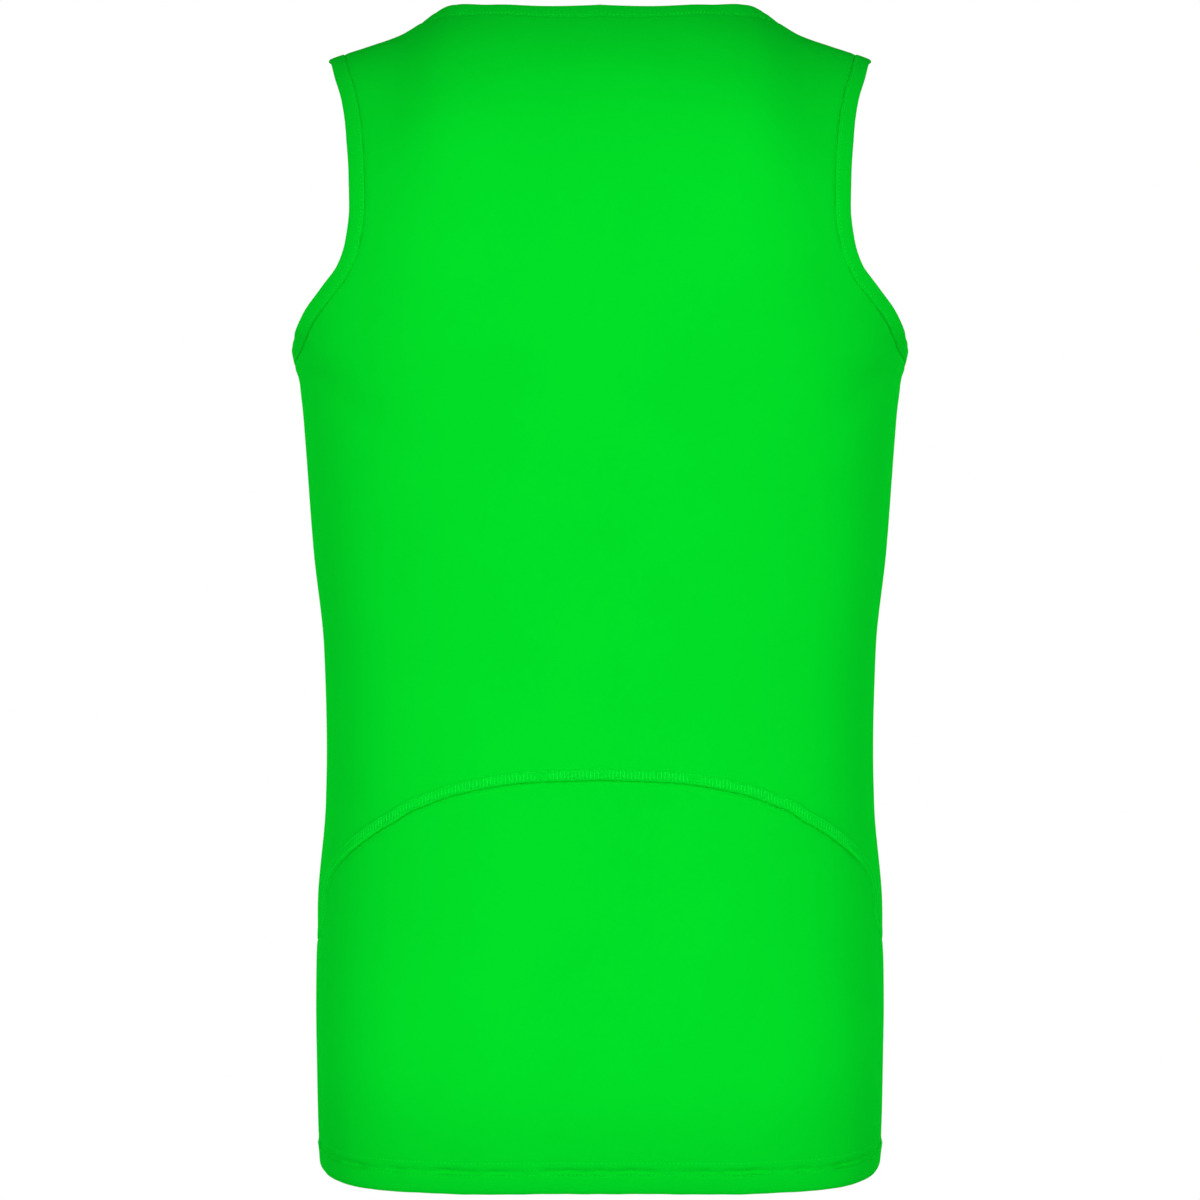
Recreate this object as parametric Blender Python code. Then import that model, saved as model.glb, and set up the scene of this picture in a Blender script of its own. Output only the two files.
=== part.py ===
"""A sports tank top, filled out as when worn, in six sewn pieces: the front panel, the upper and lower back
panels, the neck band and two armhole bands.

Metres, +Z up, the wearer's front towards -Y and the wearer's left towards +X. The origin lies midway between
the tops of the two shoulders. A place on the garment is given by a turn, the angle round the body from the
centre line (0) to the side seam (90 degrees), and a climb, the way up the cloth from the chest line, where it
starts to roll over towards the shoulder seam."""

import bmesh
import bpy
import numpy as np

# Cloth
WALL = 0.0012
HEM_WALL = 0.0021
HEM_DEPTH = 0.020
STEP_WIDTH = 0.0012
SEAM_GAP = 0.0003
ALLOWANCE_DEPTH = 0.008
ALLOWANCE_LIFT = 0.0006

# Bindings round the neck and the armholes
BAND_WIDTH = 0.0100
BAND_PROUD = 0.0005
BAND_ROUND = 0.0011

# Heights, and the half-widths of the openings along their seams
HEM_HEIGHT = -0.678
HEM_SIDE_RISE = 0.006
HEM_RISE_TURN = np.radians(40)
CHEST_HEIGHT = -0.150
ROLL_LENGTH = 0.220
NECK_HALF_WIDTH = 0.110
BACK_NECK_REACH = 0.0784
BACK_NECK_SQUARENESS = 2.2
FRONT_NECK_BOTTOM = -0.100
FRONT_NECK_SQUARENESS = 2.15
SHOULDER_TIP_HALF_WIDTH = 0.1550

BACK, FRONT = 1.0, -1.0
QUARTER = np.pi / 2

# How far along each seam, from its lowest place, the body of a panel gives way to the strap
UNDERARM_STRETCH = 0.110
NECK_STRETCH = {BACK: 0.066, FRONT: 0.088}

# Sections round the body. A squareness of 2 is an ellipse, and more is fuller at the corners.
SECTION_COLUMNS = (
    "height", "half_width", "back_depth", "front_depth", "back_squareness", "front_squareness",
)
SECTIONS = (
    (-0.690, 0.1675, 0.1080, 0.1060, 2.70, 2.55),
    (-0.640, 0.1693, 0.1110, 0.1090, 2.62, 2.55),
    (-0.579, 0.1704, 0.1130, 0.1110, 2.60, 2.50),
    (-0.519, 0.1698, 0.1110, 0.1110, 2.50, 2.50),
    (-0.458, 0.1649, 0.1050, 0.1100, 2.45, 2.40),
    (-0.428, 0.1644, 0.1030, 0.1095, 2.40, 2.40),
    (-0.367, 0.1662, 0.1030, 0.1110, 2.35, 2.35),
    (-0.307, 0.1728, 0.1080, 0.1160, 2.30, 2.30),
    (-0.246, 0.1774, 0.1140, 0.1200, 2.30, 2.30),
    (-0.218, 0.1788, 0.1162, 0.1205, 2.30, 2.30),
    (-0.205, 0.1796, 0.1170, 0.1204, 2.30, 2.30),
    (-0.189, 0.1846, 0.1180, 0.1200, 2.30, 2.30),
    (CHEST_HEIGHT, 0.1850, 0.1190, 0.1180, 2.30, 2.30),
    (-0.100, 0.1850, 0.1190, 0.1180, 2.30, 2.30),
)

# The shoulder line's height above each place across, and how squarely the cloth rolls over to it
SHOULDER_COLUMNS = ("across", "height", "back_squareness", "front_squareness")
SHOULDER = (
    (0.0000, 0.0305, 2.60, 2.15),
    (0.0500, 0.0280, 2.55, 2.15),
    (0.0900, 0.0190, 2.35, 2.10),
    (0.1050, 0.0118, 2.20, 2.10),
    (0.1200, 0.0034, 2.12, 2.05),
    (0.1400, -0.0034, 2.10, 2.05),
    (0.1550, -0.0078, 2.10, 2.05),
    (0.1650, -0.0118, 2.10, 2.05),
    (0.1850, -0.0300, 2.10, 2.05),
)

# Armhole seams from the side seam up; the shoulder tip ends both
ARMHOLE_COLUMNS = ("turn", "height")
BACK_ARMHOLE = (
    (90.0, -0.1985),
    (75.0, -0.1925),
    (67.8, -0.1840),
    (61.5, -0.1719),
    (55.2, -0.1600),
    (49.6, -0.1467),
    (46.4, -0.1290),
    (45.1, -0.1060),
    (45.2, -0.0860),
    (46.2, -0.0611),
    (48.2, -0.0373),
    (50.8, -0.0200),
)
FRONT_ARMHOLE = (
    (90.0, -0.1985),
    (75.0, -0.1920),
    (67.0, -0.1815),
    (59.5, -0.1680),
    (52.8, -0.1530),
    (47.4, -0.1360),
    (44.2, -0.1170),
    (43.0, -0.0950),
    (43.4, -0.0750),
    (45.3, -0.0520),
    (48.0, -0.0330),
    (50.8, -0.0190),
)

# The arched seam between the two back panels, from the centre to the side seam
ARCH_COLUMNS = ("turn", "height")
ARCH = (
    (0.0, -0.4408),
    (14.0, -0.4424),
    (28.0, -0.4492),
    (40.0, -0.4618),
    (50.0, -0.4755),
    (59.5, -0.4905),
    (65.0, -0.5015),
    (66.8, -0.5115),
    (67.0, -0.5215),
    (70.5, -0.5325),
    (79.0, -0.5395),
    (90.0, -0.5420),
)

# How finely the panels are divided: cells below the neck, below the strap and below the armhole, and rows up
NECK_CELLS = 7
STRAP_CELLS = 6
ARMHOLE_CELLS = 8
BODY_ROWS = 17
UPPER_BACK_ROWS = 10
LOWER_BACK_ROWS = 6
STRAP_ROWS = 11
CURVE_SAMPLES = 1201
ARCH_SPLIT_TURN = 52.0
ARCH_SPLIT_CELL = 9
EASING_PASSES = 40
SLOPE_STEP = 1e-4
SHARP_ANGLE = np.radians(40)

KNIT_COLOUR = (0.001, 0.740, 0.022, 1.0)
KNIT_ROUGHNESS = 0.80
BAND_COLOUR = (0.001, 0.700, 0.021, 1.0)
BAND_ROUGHNESS = 0.75


def column(table, names, name):
    return np.array([row[names.index(name)] for row in table])


def smooth(places, values, at):
    """Values between a table's rows by a monotone cubic, which never swings past them."""
    steps = np.diff(places)
    slopes = np.diff(values) / steps
    before, after = slopes[:-1], slopes[1:]
    first, second = steps[1:] * 2 + steps[:-1], steps[1:] + steps[:-1] * 2
    level = before * after <= 0
    safe_before, safe_after = np.where(level, 1.0, before), np.where(level, 1.0, after)
    middle = np.where(level, 0.0, (first + second) / (first / safe_before + second / safe_after))
    tangents = np.concatenate([slopes[:1], middle, slopes[-1:]])
    row = np.clip(np.searchsorted(places, at) - 1, 0, len(places) - 2)
    part = (at - places[row]) / steps[row]
    return (
        values[row] * (1 + 2 * part) * (1 - part) ** 2
        + tangents[row] * steps[row] * part * (1 - part) ** 2
        + values[row + 1] * part**2 * (3 - 2 * part)
        + tangents[row + 1] * steps[row] * part**2 * (part - 1)
    )


def section(name, height):
    heights = column(SECTIONS, SECTION_COLUMNS, "height")
    return smooth(heights, column(SECTIONS, SECTION_COLUMNS, name), height)


def shoulder(name, across):
    places = column(SHOULDER, SHOULDER_COLUMNS, "across")
    return smooth(places, column(SHOULDER, SHOULDER_COLUMNS, name), across)


def squircle(angle, squareness):
    """A point of the unit superellipse in a direction, as its sideways and its forward part."""
    sideways, forward = np.sin(angle), np.clip(np.cos(angle), 0.0, None)
    size = (sideways**squareness + forward**squareness) ** (1 / squareness)
    return sideways / size, forward / size


def side_name(side):
    return "back" if side == BACK else "front"


def cloth(side, places):
    """Points on the outer face of the cloth, on the wearer's left half, at places of turn and climb."""
    turn, climb = places[..., 0], places[..., 1]
    height = CHEST_HEIGHT + np.minimum(climb, 0.0)
    roll = np.maximum(climb, 0.0) / ROLL_LENGTH * QUARTER
    sideways, forward = squircle(turn, section(side_name(side) + "_squareness", height))
    across = section("half_width", height) * sideways
    reach = section(side_name(side) + "_depth", height) * forward
    risen, left = squircle(roll, shoulder(side_name(side) + "_squareness", across))
    rise = (shoulder("height", across) - CHEST_HEIGHT) * risen
    return np.stack([across, side * reach * left, height + rise], axis=-1)


def outward(side, places):
    """Unit normals of the cloth, from how it runs along the turn and the climb."""
    low, high = np.array([0.0, -1.0]), np.array([QUARTER, ROLL_LENGTH])
    runs = []
    for axis in (0, 1):
        step = np.zeros(2)
        step[axis] = SLOPE_STEP
        ahead, behind = np.clip(places + step, low, high), np.clip(places - step, low, high)
        runs.append(cloth(side, ahead) - cloth(side, behind))
    normal = side * np.cross(runs[1], runs[0])
    return normal / np.linalg.norm(normal, axis=-1, keepdims=True)


def place_of(side, points):
    """The turn and climb of points on or near the cloth."""
    across, reach, up = points[..., 0], side * points[..., 1], points[..., 2]
    height = np.minimum(up, CHEST_HEIGHT)
    half, depth = section("half_width", height), section(side_name(side) + "_depth", height)
    squareness = section(side_name(side) + "_squareness", height)
    sideways = np.clip(across / half, 0.0, 1.0)
    forward = (1 - sideways**squareness) ** (1 / squareness)
    above = up > CHEST_HEIGHT
    turn = np.arctan2(sideways, np.where(above, forward, np.clip(reach / depth, 0.0, None)))
    risen = (up - CHEST_HEIGHT) / (shoulder("height", across) - CHEST_HEIGHT)
    left = np.divide(reach, depth * forward, out=np.zeros_like(reach), where=forward > 0)
    roll = np.arctan2(np.clip(risen, 0.0, None), np.clip(left, 0.0, None))
    return np.stack([turn, np.where(above, roll / QUARTER * ROLL_LENGTH, up - CHEST_HEIGHT)], axis=-1)


def climb_at(side, turn, height):
    """The climb at a turn where the cloth has a given height."""
    below = height - CHEST_HEIGHT
    half = section("half_width", np.full_like(turn, CHEST_HEIGHT))
    sideways, _ = squircle(turn, section(side_name(side) + "_squareness", np.full_like(turn, CHEST_HEIGHT)))
    across = half * sideways
    squareness = shoulder(side_name(side) + "_squareness", across)
    risen = np.clip(below / (shoulder("height", across) - CHEST_HEIGHT), 0.0, 1.0)
    roll = np.arctan2(risen, (1 - risen**squareness) ** (1 / squareness))
    return np.where(below > 0, roll / QUARTER * ROLL_LENGTH, below)


def lengths(side, curve):
    steps = np.linalg.norm(np.diff(cloth(side, curve), axis=0), axis=1)
    return np.concatenate([[0.0], np.cumsum(steps)])


def evenly(side, curve, count):
    """A curve on the cloth cut into stretches of equal length."""
    run = lengths(side, curve)
    at = np.linspace(0.0, run[-1], count + 1)
    return np.stack([np.interp(at, run, curve[:, axis]) for axis in (0, 1)], axis=-1)


def through(rows):
    """A smooth dense curve through places of turn and climb, spaced by how far apart they lie."""
    rows = np.array(rows)
    spread = np.linalg.norm(np.diff(rows, axis=0) * (section("half_width", CHEST_HEIGHT), 1.0), axis=1)
    run = np.concatenate([[0.0], np.cumsum(spread)])
    at = np.linspace(0.0, run[-1], CURVE_SAMPLES)
    return np.stack([smooth(run, rows[:, axis], at) for axis in (0, 1)], axis=-1)


def split_at(curve, index, side, counts):
    """A curve cut at one of its points, each part divided evenly."""
    before, after = evenly(side, curve[: index + 1], counts[0]), evenly(side, curve[index:], counts[1])
    return np.concatenate([before[:-1], after])


def side_turn(side, climb):
    """The turn at which a panel stops, half a gap short of the side seam."""
    depth = section(side_name(side) + "_depth", CHEST_HEIGHT + np.minimum(climb, 0.0))
    return QUARTER - SEAM_GAP / 2 / depth


def top_climb(side, turn):
    """The climb at which a panel stops, half a gap short of the shoulder seam."""
    chest = np.stack([turn, np.zeros_like(turn)], axis=-1)
    return ROLL_LENGTH * (1 - SEAM_GAP / 2 / np.abs(cloth(side, chest)[..., 1]) / QUARTER)


def across_turn(side, across):
    """The turn, above the chest line, of a place across."""
    half = section("half_width", CHEST_HEIGHT)
    squareness = section(side_name(side) + "_squareness", CHEST_HEIGHT)
    sideways = across / half
    return np.arctan2(sideways, (1 - sideways**squareness) ** (1 / squareness))


def armhole(side):
    """The armhole seam from the side seam to the shoulder tip."""
    table = BACK_ARMHOLE if side == BACK else FRONT_ARMHOLE
    turn = np.radians(column(table, ARMHOLE_COLUMNS, "turn"))
    climb = climb_at(side, turn, column(table, ARMHOLE_COLUMNS, "height"))
    turn[0] = side_turn(side, climb[0])
    tip = across_turn(side, SHOULDER_TIP_HALF_WIDTH)
    rows = list(zip(turn, climb)) + [(tip, float(top_climb(side, tip)))]
    return through(rows)


def neck(side):
    """The neck seam from centre to shoulder: a superellipse in plan behind, and in height in front."""
    angle = np.linspace(0.0, QUARTER, CURVE_SAMPLES)
    if side == BACK:
        sideways, forward = squircle(angle, BACK_NECK_SQUARENESS)
        turn = across_turn(side, NECK_HALF_WIDTH * sideways)
        chest = cloth(side, np.stack([turn, np.zeros_like(turn)], axis=-1))
        left = np.clip(BACK_NECK_REACH * forward / np.abs(chest[:, 1]), 0.0, 1.0)
        squareness = shoulder("back_squareness", chest[:, 0])
        climb = ROLL_LENGTH * np.arctan2((1 - left**squareness) ** (1 / squareness), left) / QUARTER
    else:
        sideways, forward = squircle(angle, FRONT_NECK_SQUARENESS)
        turn = across_turn(side, NECK_HALF_WIDTH * sideways)
        top = float(shoulder("height", NECK_HALF_WIDTH))
        climb = climb_at(side, turn, top - (top - FRONT_NECK_BOTTOM) * forward)
    return np.stack([turn, np.minimum(climb, top_climb(side, turn))], axis=-1)


def shoulder_line(side, start, end, count):
    turn = np.linspace(start, end, count + 1)
    return np.stack([turn, top_climb(side, turn)], axis=-1)


def coons(bottom, top, left, right):
    """Places inside four curves, blended between the two pairs of opposite ones."""
    along = np.linspace(0.0, 1.0, len(bottom))[None, :, None]
    up = np.linspace(0.0, 1.0, len(left))[:, None, None]
    ruled = (1 - up) * bottom[None] + up * top[None] + (1 - along) * left[:, None] + along * right[:, None]
    low_corners = (1 - along) * bottom[0] + along * bottom[-1]
    high_corners = (1 - along) * top[0] + along * top[-1]
    return ruled - (1 - up) * low_corners - up * high_corners


def eased(grid):
    """A grid whose inner points are moved to the middle of their four neighbours, again and again."""
    grid = grid.copy()
    for _ in range(EASING_PASSES):
        grid[1:-1, 1:-1] = (grid[:-2, 1:-1] + grid[2:, 1:-1] + grid[1:-1, :-2] + grid[1:-1, 2:]) / 4
    return grid


def ladder(curves, counts):
    """Rows of places between curves that have the same number of points."""
    rows = [curves[0]]
    for low, high, count in zip(curves[:-1], curves[1:], counts):
        rows += [low + (high - low) * (step + 1) / count for step in range(count)]
    return np.array(rows)


def quads(shape, first=0):
    """Four corners for each cell of a grid of points numbered row by row."""
    numbers = first + np.arange(shape[0] * shape[1]).reshape(shape)
    corners = [numbers[:-1, :-1], numbers[:-1, 1:], numbers[1:, 1:], numbers[1:, :-1]]
    return np.stack(corners, axis=-1).reshape(-1, 4)


def top_edges(side):
    """The curve that ends a panel's body, along neck, cross line and armhole, and the strap above it."""
    neck_seam, arm_seam = neck(side), armhole(side)
    neck_slant = int(np.argmin(np.abs(lengths(side, neck_seam) - NECK_STRETCH[side])))
    arm_slant = int(np.argmin(np.abs(lengths(side, arm_seam) - UNDERARM_STRETCH)))
    neck_low = evenly(side, neck_seam[: neck_slant + 1], NECK_CELLS)
    neck_high = evenly(side, neck_seam[neck_slant:], STRAP_ROWS)
    arm_low = evenly(side, arm_seam[: arm_slant + 1], ARMHOLE_CELLS)
    arm_high = evenly(side, arm_seam[arm_slant:], STRAP_ROWS)
    cross = np.linspace(neck_low[-1], arm_low[-1], STRAP_CELLS + 1)
    body_top = np.concatenate([neck_low[:-1], cross, arm_low[::-1][1:]])
    tops = shoulder_line(side, neck_high[-1, 0], arm_high[-1, 0], STRAP_CELLS)
    return body_top, eased(coons(cross, tops, neck_high, arm_high))


def grid_with_strap(rows, strap):
    """A panel's body and strap as one set of places and cells. The strap's lowest row is the body's own."""
    body_count = rows.shape[0] * rows.shape[1]
    places = np.concatenate([rows.reshape(-1, 2), strap[1:].reshape(-1, 2)])
    strap_cells = quads(strap.shape[:2], body_count - strap.shape[1])
    shared = (rows.shape[0] - 1) * rows.shape[1] + NECK_CELLS + np.arange(strap.shape[1])
    low = strap_cells < body_count
    strap_cells[low] = shared[strap_cells[low] - (body_count - strap.shape[1])]
    return places, np.concatenate([quads(rows.shape[:2]), strap_cells])


def both_halves(points):
    """The points of the wearer's left half, followed by their mirror images."""
    return np.concatenate([points, points * (-1.0, 1.0, 1.0)])


def cells_of_both(cells, centre):
    """The cells of both halves, which share the points on the centre line."""
    mirrored = np.where(centre, 0, len(centre)) + np.arange(len(centre))
    return np.concatenate([cells, mirrored[cells][:, ::-1]])


def walled(outer, inner, cells):
    """A closed wall from its outer and inner points and the cells that they share."""
    used, cells = np.unique(cells, return_inverse=True)
    outer, inner, cells = outer[used], inner[used], cells.reshape(-1, 4)
    count = len(outer)
    edges = np.concatenate([np.stack([cells[:, k], cells[:, (k + 1) % 4]], axis=-1) for k in range(4)])
    forward, backward = edges[:, 0] * count + edges[:, 1], edges[:, 1] * count + edges[:, 0]
    rim = edges[~np.isin(forward, backward)]
    sides = np.stack([rim[:, 1], rim[:, 0], rim[:, 0] + count, rim[:, 1] + count], axis=-1)
    return np.concatenate([outer, inner]), np.concatenate([cells, cells[:, ::-1] + count, sides])


def material(name, colour, roughness):
    found = bpy.data.materials.new(name)
    found.use_nodes = True
    shader = found.node_tree.nodes["Principled BSDF"]
    shader.inputs["Base Color"].default_value = colour
    shader.inputs["Roughness"].default_value = roughness
    shader.inputs["Metallic"].default_value = 0.0
    return found


def add_piece(name, points, faces, finish):
    mesh = bpy.data.meshes.new(name)
    mesh.from_pydata(points.tolist(), [], faces.tolist())
    shape = bmesh.new()
    shape.from_mesh(mesh)
    bmesh.ops.triangulate(shape, faces=shape.faces[:])
    if shape.calc_volume(signed=True) < 0:
        bmesh.ops.reverse_faces(shape, faces=shape.faces[:])
    shape.to_mesh(mesh)
    shape.free()
    mesh.shade_smooth()
    mesh.set_sharp_from_angle(angle=SHARP_ANGLE)
    mesh.materials.append(finish)
    piece = bpy.data.objects.new(name, mesh)
    bpy.context.scene.collection.objects.link(piece)
    return piece


def add_panel(name, side, places, cells, wall, lift, finish):
    """A panel of a given wall at each of its places, its outer face lifted where a layer lies under."""
    surface, normals = cloth(side, places), outward(side, places)
    outer = both_halves(surface + normals * lift[:, None])
    inner = both_halves(surface - normals * wall[:, None])
    return add_piece(name, *walled(outer, inner, cells_of_both(cells, places[:, 0] == 0.0)), finish)


def hem_line(side, above, turns):
    """The hem's edge, or a line a given way above it. It rises a little towards the side seams."""
    part = np.clip((turns - HEM_RISE_TURN) / (QUARTER - HEM_RISE_TURN), 0.0, 1.0)
    rise = HEM_SIDE_RISE * part**2 * (3 - 2 * part)
    return np.stack([turns, HEM_HEIGHT + rise + above - CHEST_HEIGHT], axis=-1)


def hem_turns(side, count):
    level = HEM_HEIGHT - CHEST_HEIGHT
    turns = np.linspace(0.0, side_turn(side, level), CURVE_SAMPLES)
    return evenly(side, hem_line(side, 0.0, turns), count)[:, 0]


def shifted(side, curve, way):
    """A curve moved along the cloth, across its own run, by a distance. Its ends keep their turns."""
    points, normals = cloth(side, curve), outward(side, curve)
    runs = np.gradient(points, axis=0)
    across = np.cross(normals, runs)
    across *= np.sign(across[:1, 2:]) / np.linalg.norm(across, axis=-1, keepdims=True)
    moved = place_of(side, points + across * way)
    moved[0, 0], moved[-1, 0] = curve[0, 0], curve[-1, 0]
    return moved


def arch_curve():
    """The arched seam, with as many points as the upper back has along its top."""
    turn, height = column(ARCH, ARCH_COLUMNS, "turn"), column(ARCH, ARCH_COLUMNS, "height")
    rows = np.stack([np.radians(turn), height - CHEST_HEIGHT], axis=-1)
    rows[-1, 0] = side_turn(BACK, rows[-1, 1])
    dense = through(rows)
    index = int(np.argmin(np.abs(dense[:, 0] - np.radians(ARCH_SPLIT_TURN))))
    count = NECK_CELLS + STRAP_CELLS + ARMHOLE_CELLS
    return split_at(dense, index, BACK, (ARCH_SPLIT_CELL, count - ARCH_SPLIT_CELL))


def front_panel(finish):
    body_top, strap = top_edges(FRONT)
    turns = hem_turns(FRONT, len(body_top) - 1)
    levels = [hem_line(FRONT, above, turns) for above in (0.0, HEM_DEPTH, HEM_DEPTH + STEP_WIDTH)]
    for level in levels:
        level[-1, 0] = side_turn(FRONT, level[-1, 1])
    rows = ladder(levels + [body_top], (1, 1, BODY_ROWS))
    places, cells = grid_with_strap(rows, strap)
    wall = np.full(len(places), WALL)
    wall[: 2 * len(turns)] = HEM_WALL
    return add_panel("front_panel", FRONT, places, cells, wall, np.zeros(len(places)), finish)


def back_panel_upper(finish):
    body_top, strap = top_edges(BACK)
    seam = arch_curve()
    ways = (SEAM_GAP / 2, ALLOWANCE_DEPTH, ALLOWANCE_DEPTH + STEP_WIDTH)
    levels = [shifted(BACK, seam, way) for way in ways]
    rows = ladder(levels + [body_top], (1, 1, UPPER_BACK_ROWS))
    places, cells = grid_with_strap(rows, strap)
    wall = np.full(len(places), WALL)
    lift = np.zeros(len(places))
    lift[: 2 * len(seam)] = ALLOWANCE_LIFT
    return add_panel("back_panel_upper", BACK, places, cells, wall, lift, finish)


def back_panel_lower(finish):
    seam = arch_curve()
    turns = hem_turns(BACK, len(seam) - 1)
    levels = [hem_line(BACK, above, turns) for above in (0.0, HEM_DEPTH, HEM_DEPTH + STEP_WIDTH)]
    for level in levels:
        level[-1, 0] = side_turn(BACK, level[-1, 1])
    rows = ladder(levels + [shifted(BACK, seam, -SEAM_GAP / 2)], (1, 1, LOWER_BACK_ROWS))
    places, cells = rows.reshape(-1, 2), quads(rows.shape[:2])
    wall = np.full(len(places), WALL)
    wall[: 2 * len(turns)] = HEM_WALL
    return add_panel("back_panel_lower", BACK, places, cells, wall, np.zeros(len(places)), finish)


def band_profile():
    """The binding's cross-section, as distances beyond its seam and out from the cloth."""
    outer, inner = BAND_PROUD, -(WALL + BAND_PROUD)
    soft = BAND_ROUND * (1 - np.sqrt(0.5))
    return np.array(
        [
            (SEAM_GAP, outer),
            (BAND_WIDTH - BAND_ROUND, outer),
            (BAND_WIDTH - soft, outer - soft),
            (BAND_WIDTH, (outer + inner) / 2),
            (BAND_WIDTH - soft, inner + soft),
            (BAND_WIDTH - BAND_ROUND, inner),
            (SEAM_GAP, inner),
        ]
    )


def add_band(name, points, normals, towards, finish):
    """A binding swept round a closed seam. It lies beyond the seam, on the side of a given point."""
    normals = normals / np.linalg.norm(normals, axis=-1, keepdims=True)
    runs = np.roll(points, -1, axis=0) - np.roll(points, 1, axis=0)
    beyond = np.cross(normals, runs)
    beyond *= np.sign(np.sum(beyond * (towards - points)))
    beyond /= np.linalg.norm(beyond, axis=-1, keepdims=True)
    profile = band_profile()
    rings = points[:, None] + beyond[:, None] * profile[None, :, :1] + normals[:, None] * profile[None, :, 1:]
    stations, corners = rings.shape[:2]
    numbers = np.arange(stations * corners).reshape(stations, corners)
    after, beside = np.roll(numbers, -1, axis=0), np.roll(numbers, -1, axis=1)
    cells = np.stack([numbers, after, np.roll(after, -1, axis=1), beside], axis=-1).reshape(-1, 4)
    return add_piece(name, rings.reshape(-1, 3), cells, finish)


def neck_edge(side):
    """A panel's own edge points along the neck, from the centre line to the shoulder."""
    body_top, strap = top_edges(side)
    return np.concatenate([body_top[: NECK_CELLS + 1], strap[1:, 0]])


def armhole_edge(side):
    """A panel's own edge points along the armhole, from the side seam to the shoulder."""
    body_top, strap = top_edges(side)
    return np.concatenate([body_top[::-1][: ARMHOLE_CELLS + 1], strap[1:, -1]])


def joined(first, second):
    """Two runs of seam points end to end, with the two that face each other over a seam made one."""
    middle = (first[-1] + second[0]) / 2
    return np.concatenate([first[:-1], middle[None], second[1:]])


def round_the_shoulder(edge):
    """The points and normals along an edge of the back, over the shoulder and back along the front."""
    back, front = edge(BACK), edge(FRONT)[::-1]
    return joined(cloth(BACK, back), cloth(FRONT, front)), joined(outward(BACK, back), outward(FRONT, front))


def armhole_band(name, half, finish):
    points, normals = round_the_shoulder(armhole_edge)
    points[0], normals[0] = (points[0] + points[-1]) / 2, (normals[0] + normals[-1]) / 2
    points, normals = points[:-1] * (half, 1, 1), normals[:-1] * (half, 1, 1)
    return add_band(name, points, normals, points.mean(axis=0), finish)


def neck_band(finish):
    points, normals = round_the_shoulder(neck_edge)
    points = np.concatenate([points, points[::-1][1:-1] * (-1, 1, 1)])
    normals = np.concatenate([normals, normals[::-1][1:-1] * (-1, 1, 1)])
    middle = np.array([0.0, 0.0, float(shoulder("height", 0.0))])
    return add_band("neck_band", points, normals, middle, finish)


def main():
    for old in list(bpy.data.objects):
        bpy.data.objects.remove(old)
    knit = material("knit", KNIT_COLOUR, KNIT_ROUGHNESS)
    binding = material("binding", BAND_COLOUR, BAND_ROUGHNESS)
    front_panel(knit)
    back_panel_upper(knit)
    back_panel_lower(knit)
    neck_band(binding)
    armhole_band("armhole_band_left", 1, binding)
    armhole_band("armhole_band_right", -1, binding)


main()
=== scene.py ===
import math

import bpy
import bmesh
import numpy as np
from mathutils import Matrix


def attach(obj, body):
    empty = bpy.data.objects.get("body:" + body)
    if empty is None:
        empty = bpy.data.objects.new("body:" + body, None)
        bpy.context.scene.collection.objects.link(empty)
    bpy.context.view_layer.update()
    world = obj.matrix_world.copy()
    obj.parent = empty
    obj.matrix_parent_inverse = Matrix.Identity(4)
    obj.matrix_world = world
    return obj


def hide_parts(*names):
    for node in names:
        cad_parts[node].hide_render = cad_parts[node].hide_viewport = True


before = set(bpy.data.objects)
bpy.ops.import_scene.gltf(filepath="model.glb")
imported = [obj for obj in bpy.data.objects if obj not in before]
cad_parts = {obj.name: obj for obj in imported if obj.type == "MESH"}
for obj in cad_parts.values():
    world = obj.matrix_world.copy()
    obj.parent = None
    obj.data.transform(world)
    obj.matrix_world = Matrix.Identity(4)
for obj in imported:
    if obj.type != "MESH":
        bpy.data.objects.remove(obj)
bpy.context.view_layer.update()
print("frame: loaded", len(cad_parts), "solids")

back, front = 1.0, -1.0
quarter = math.pi / 2

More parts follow.
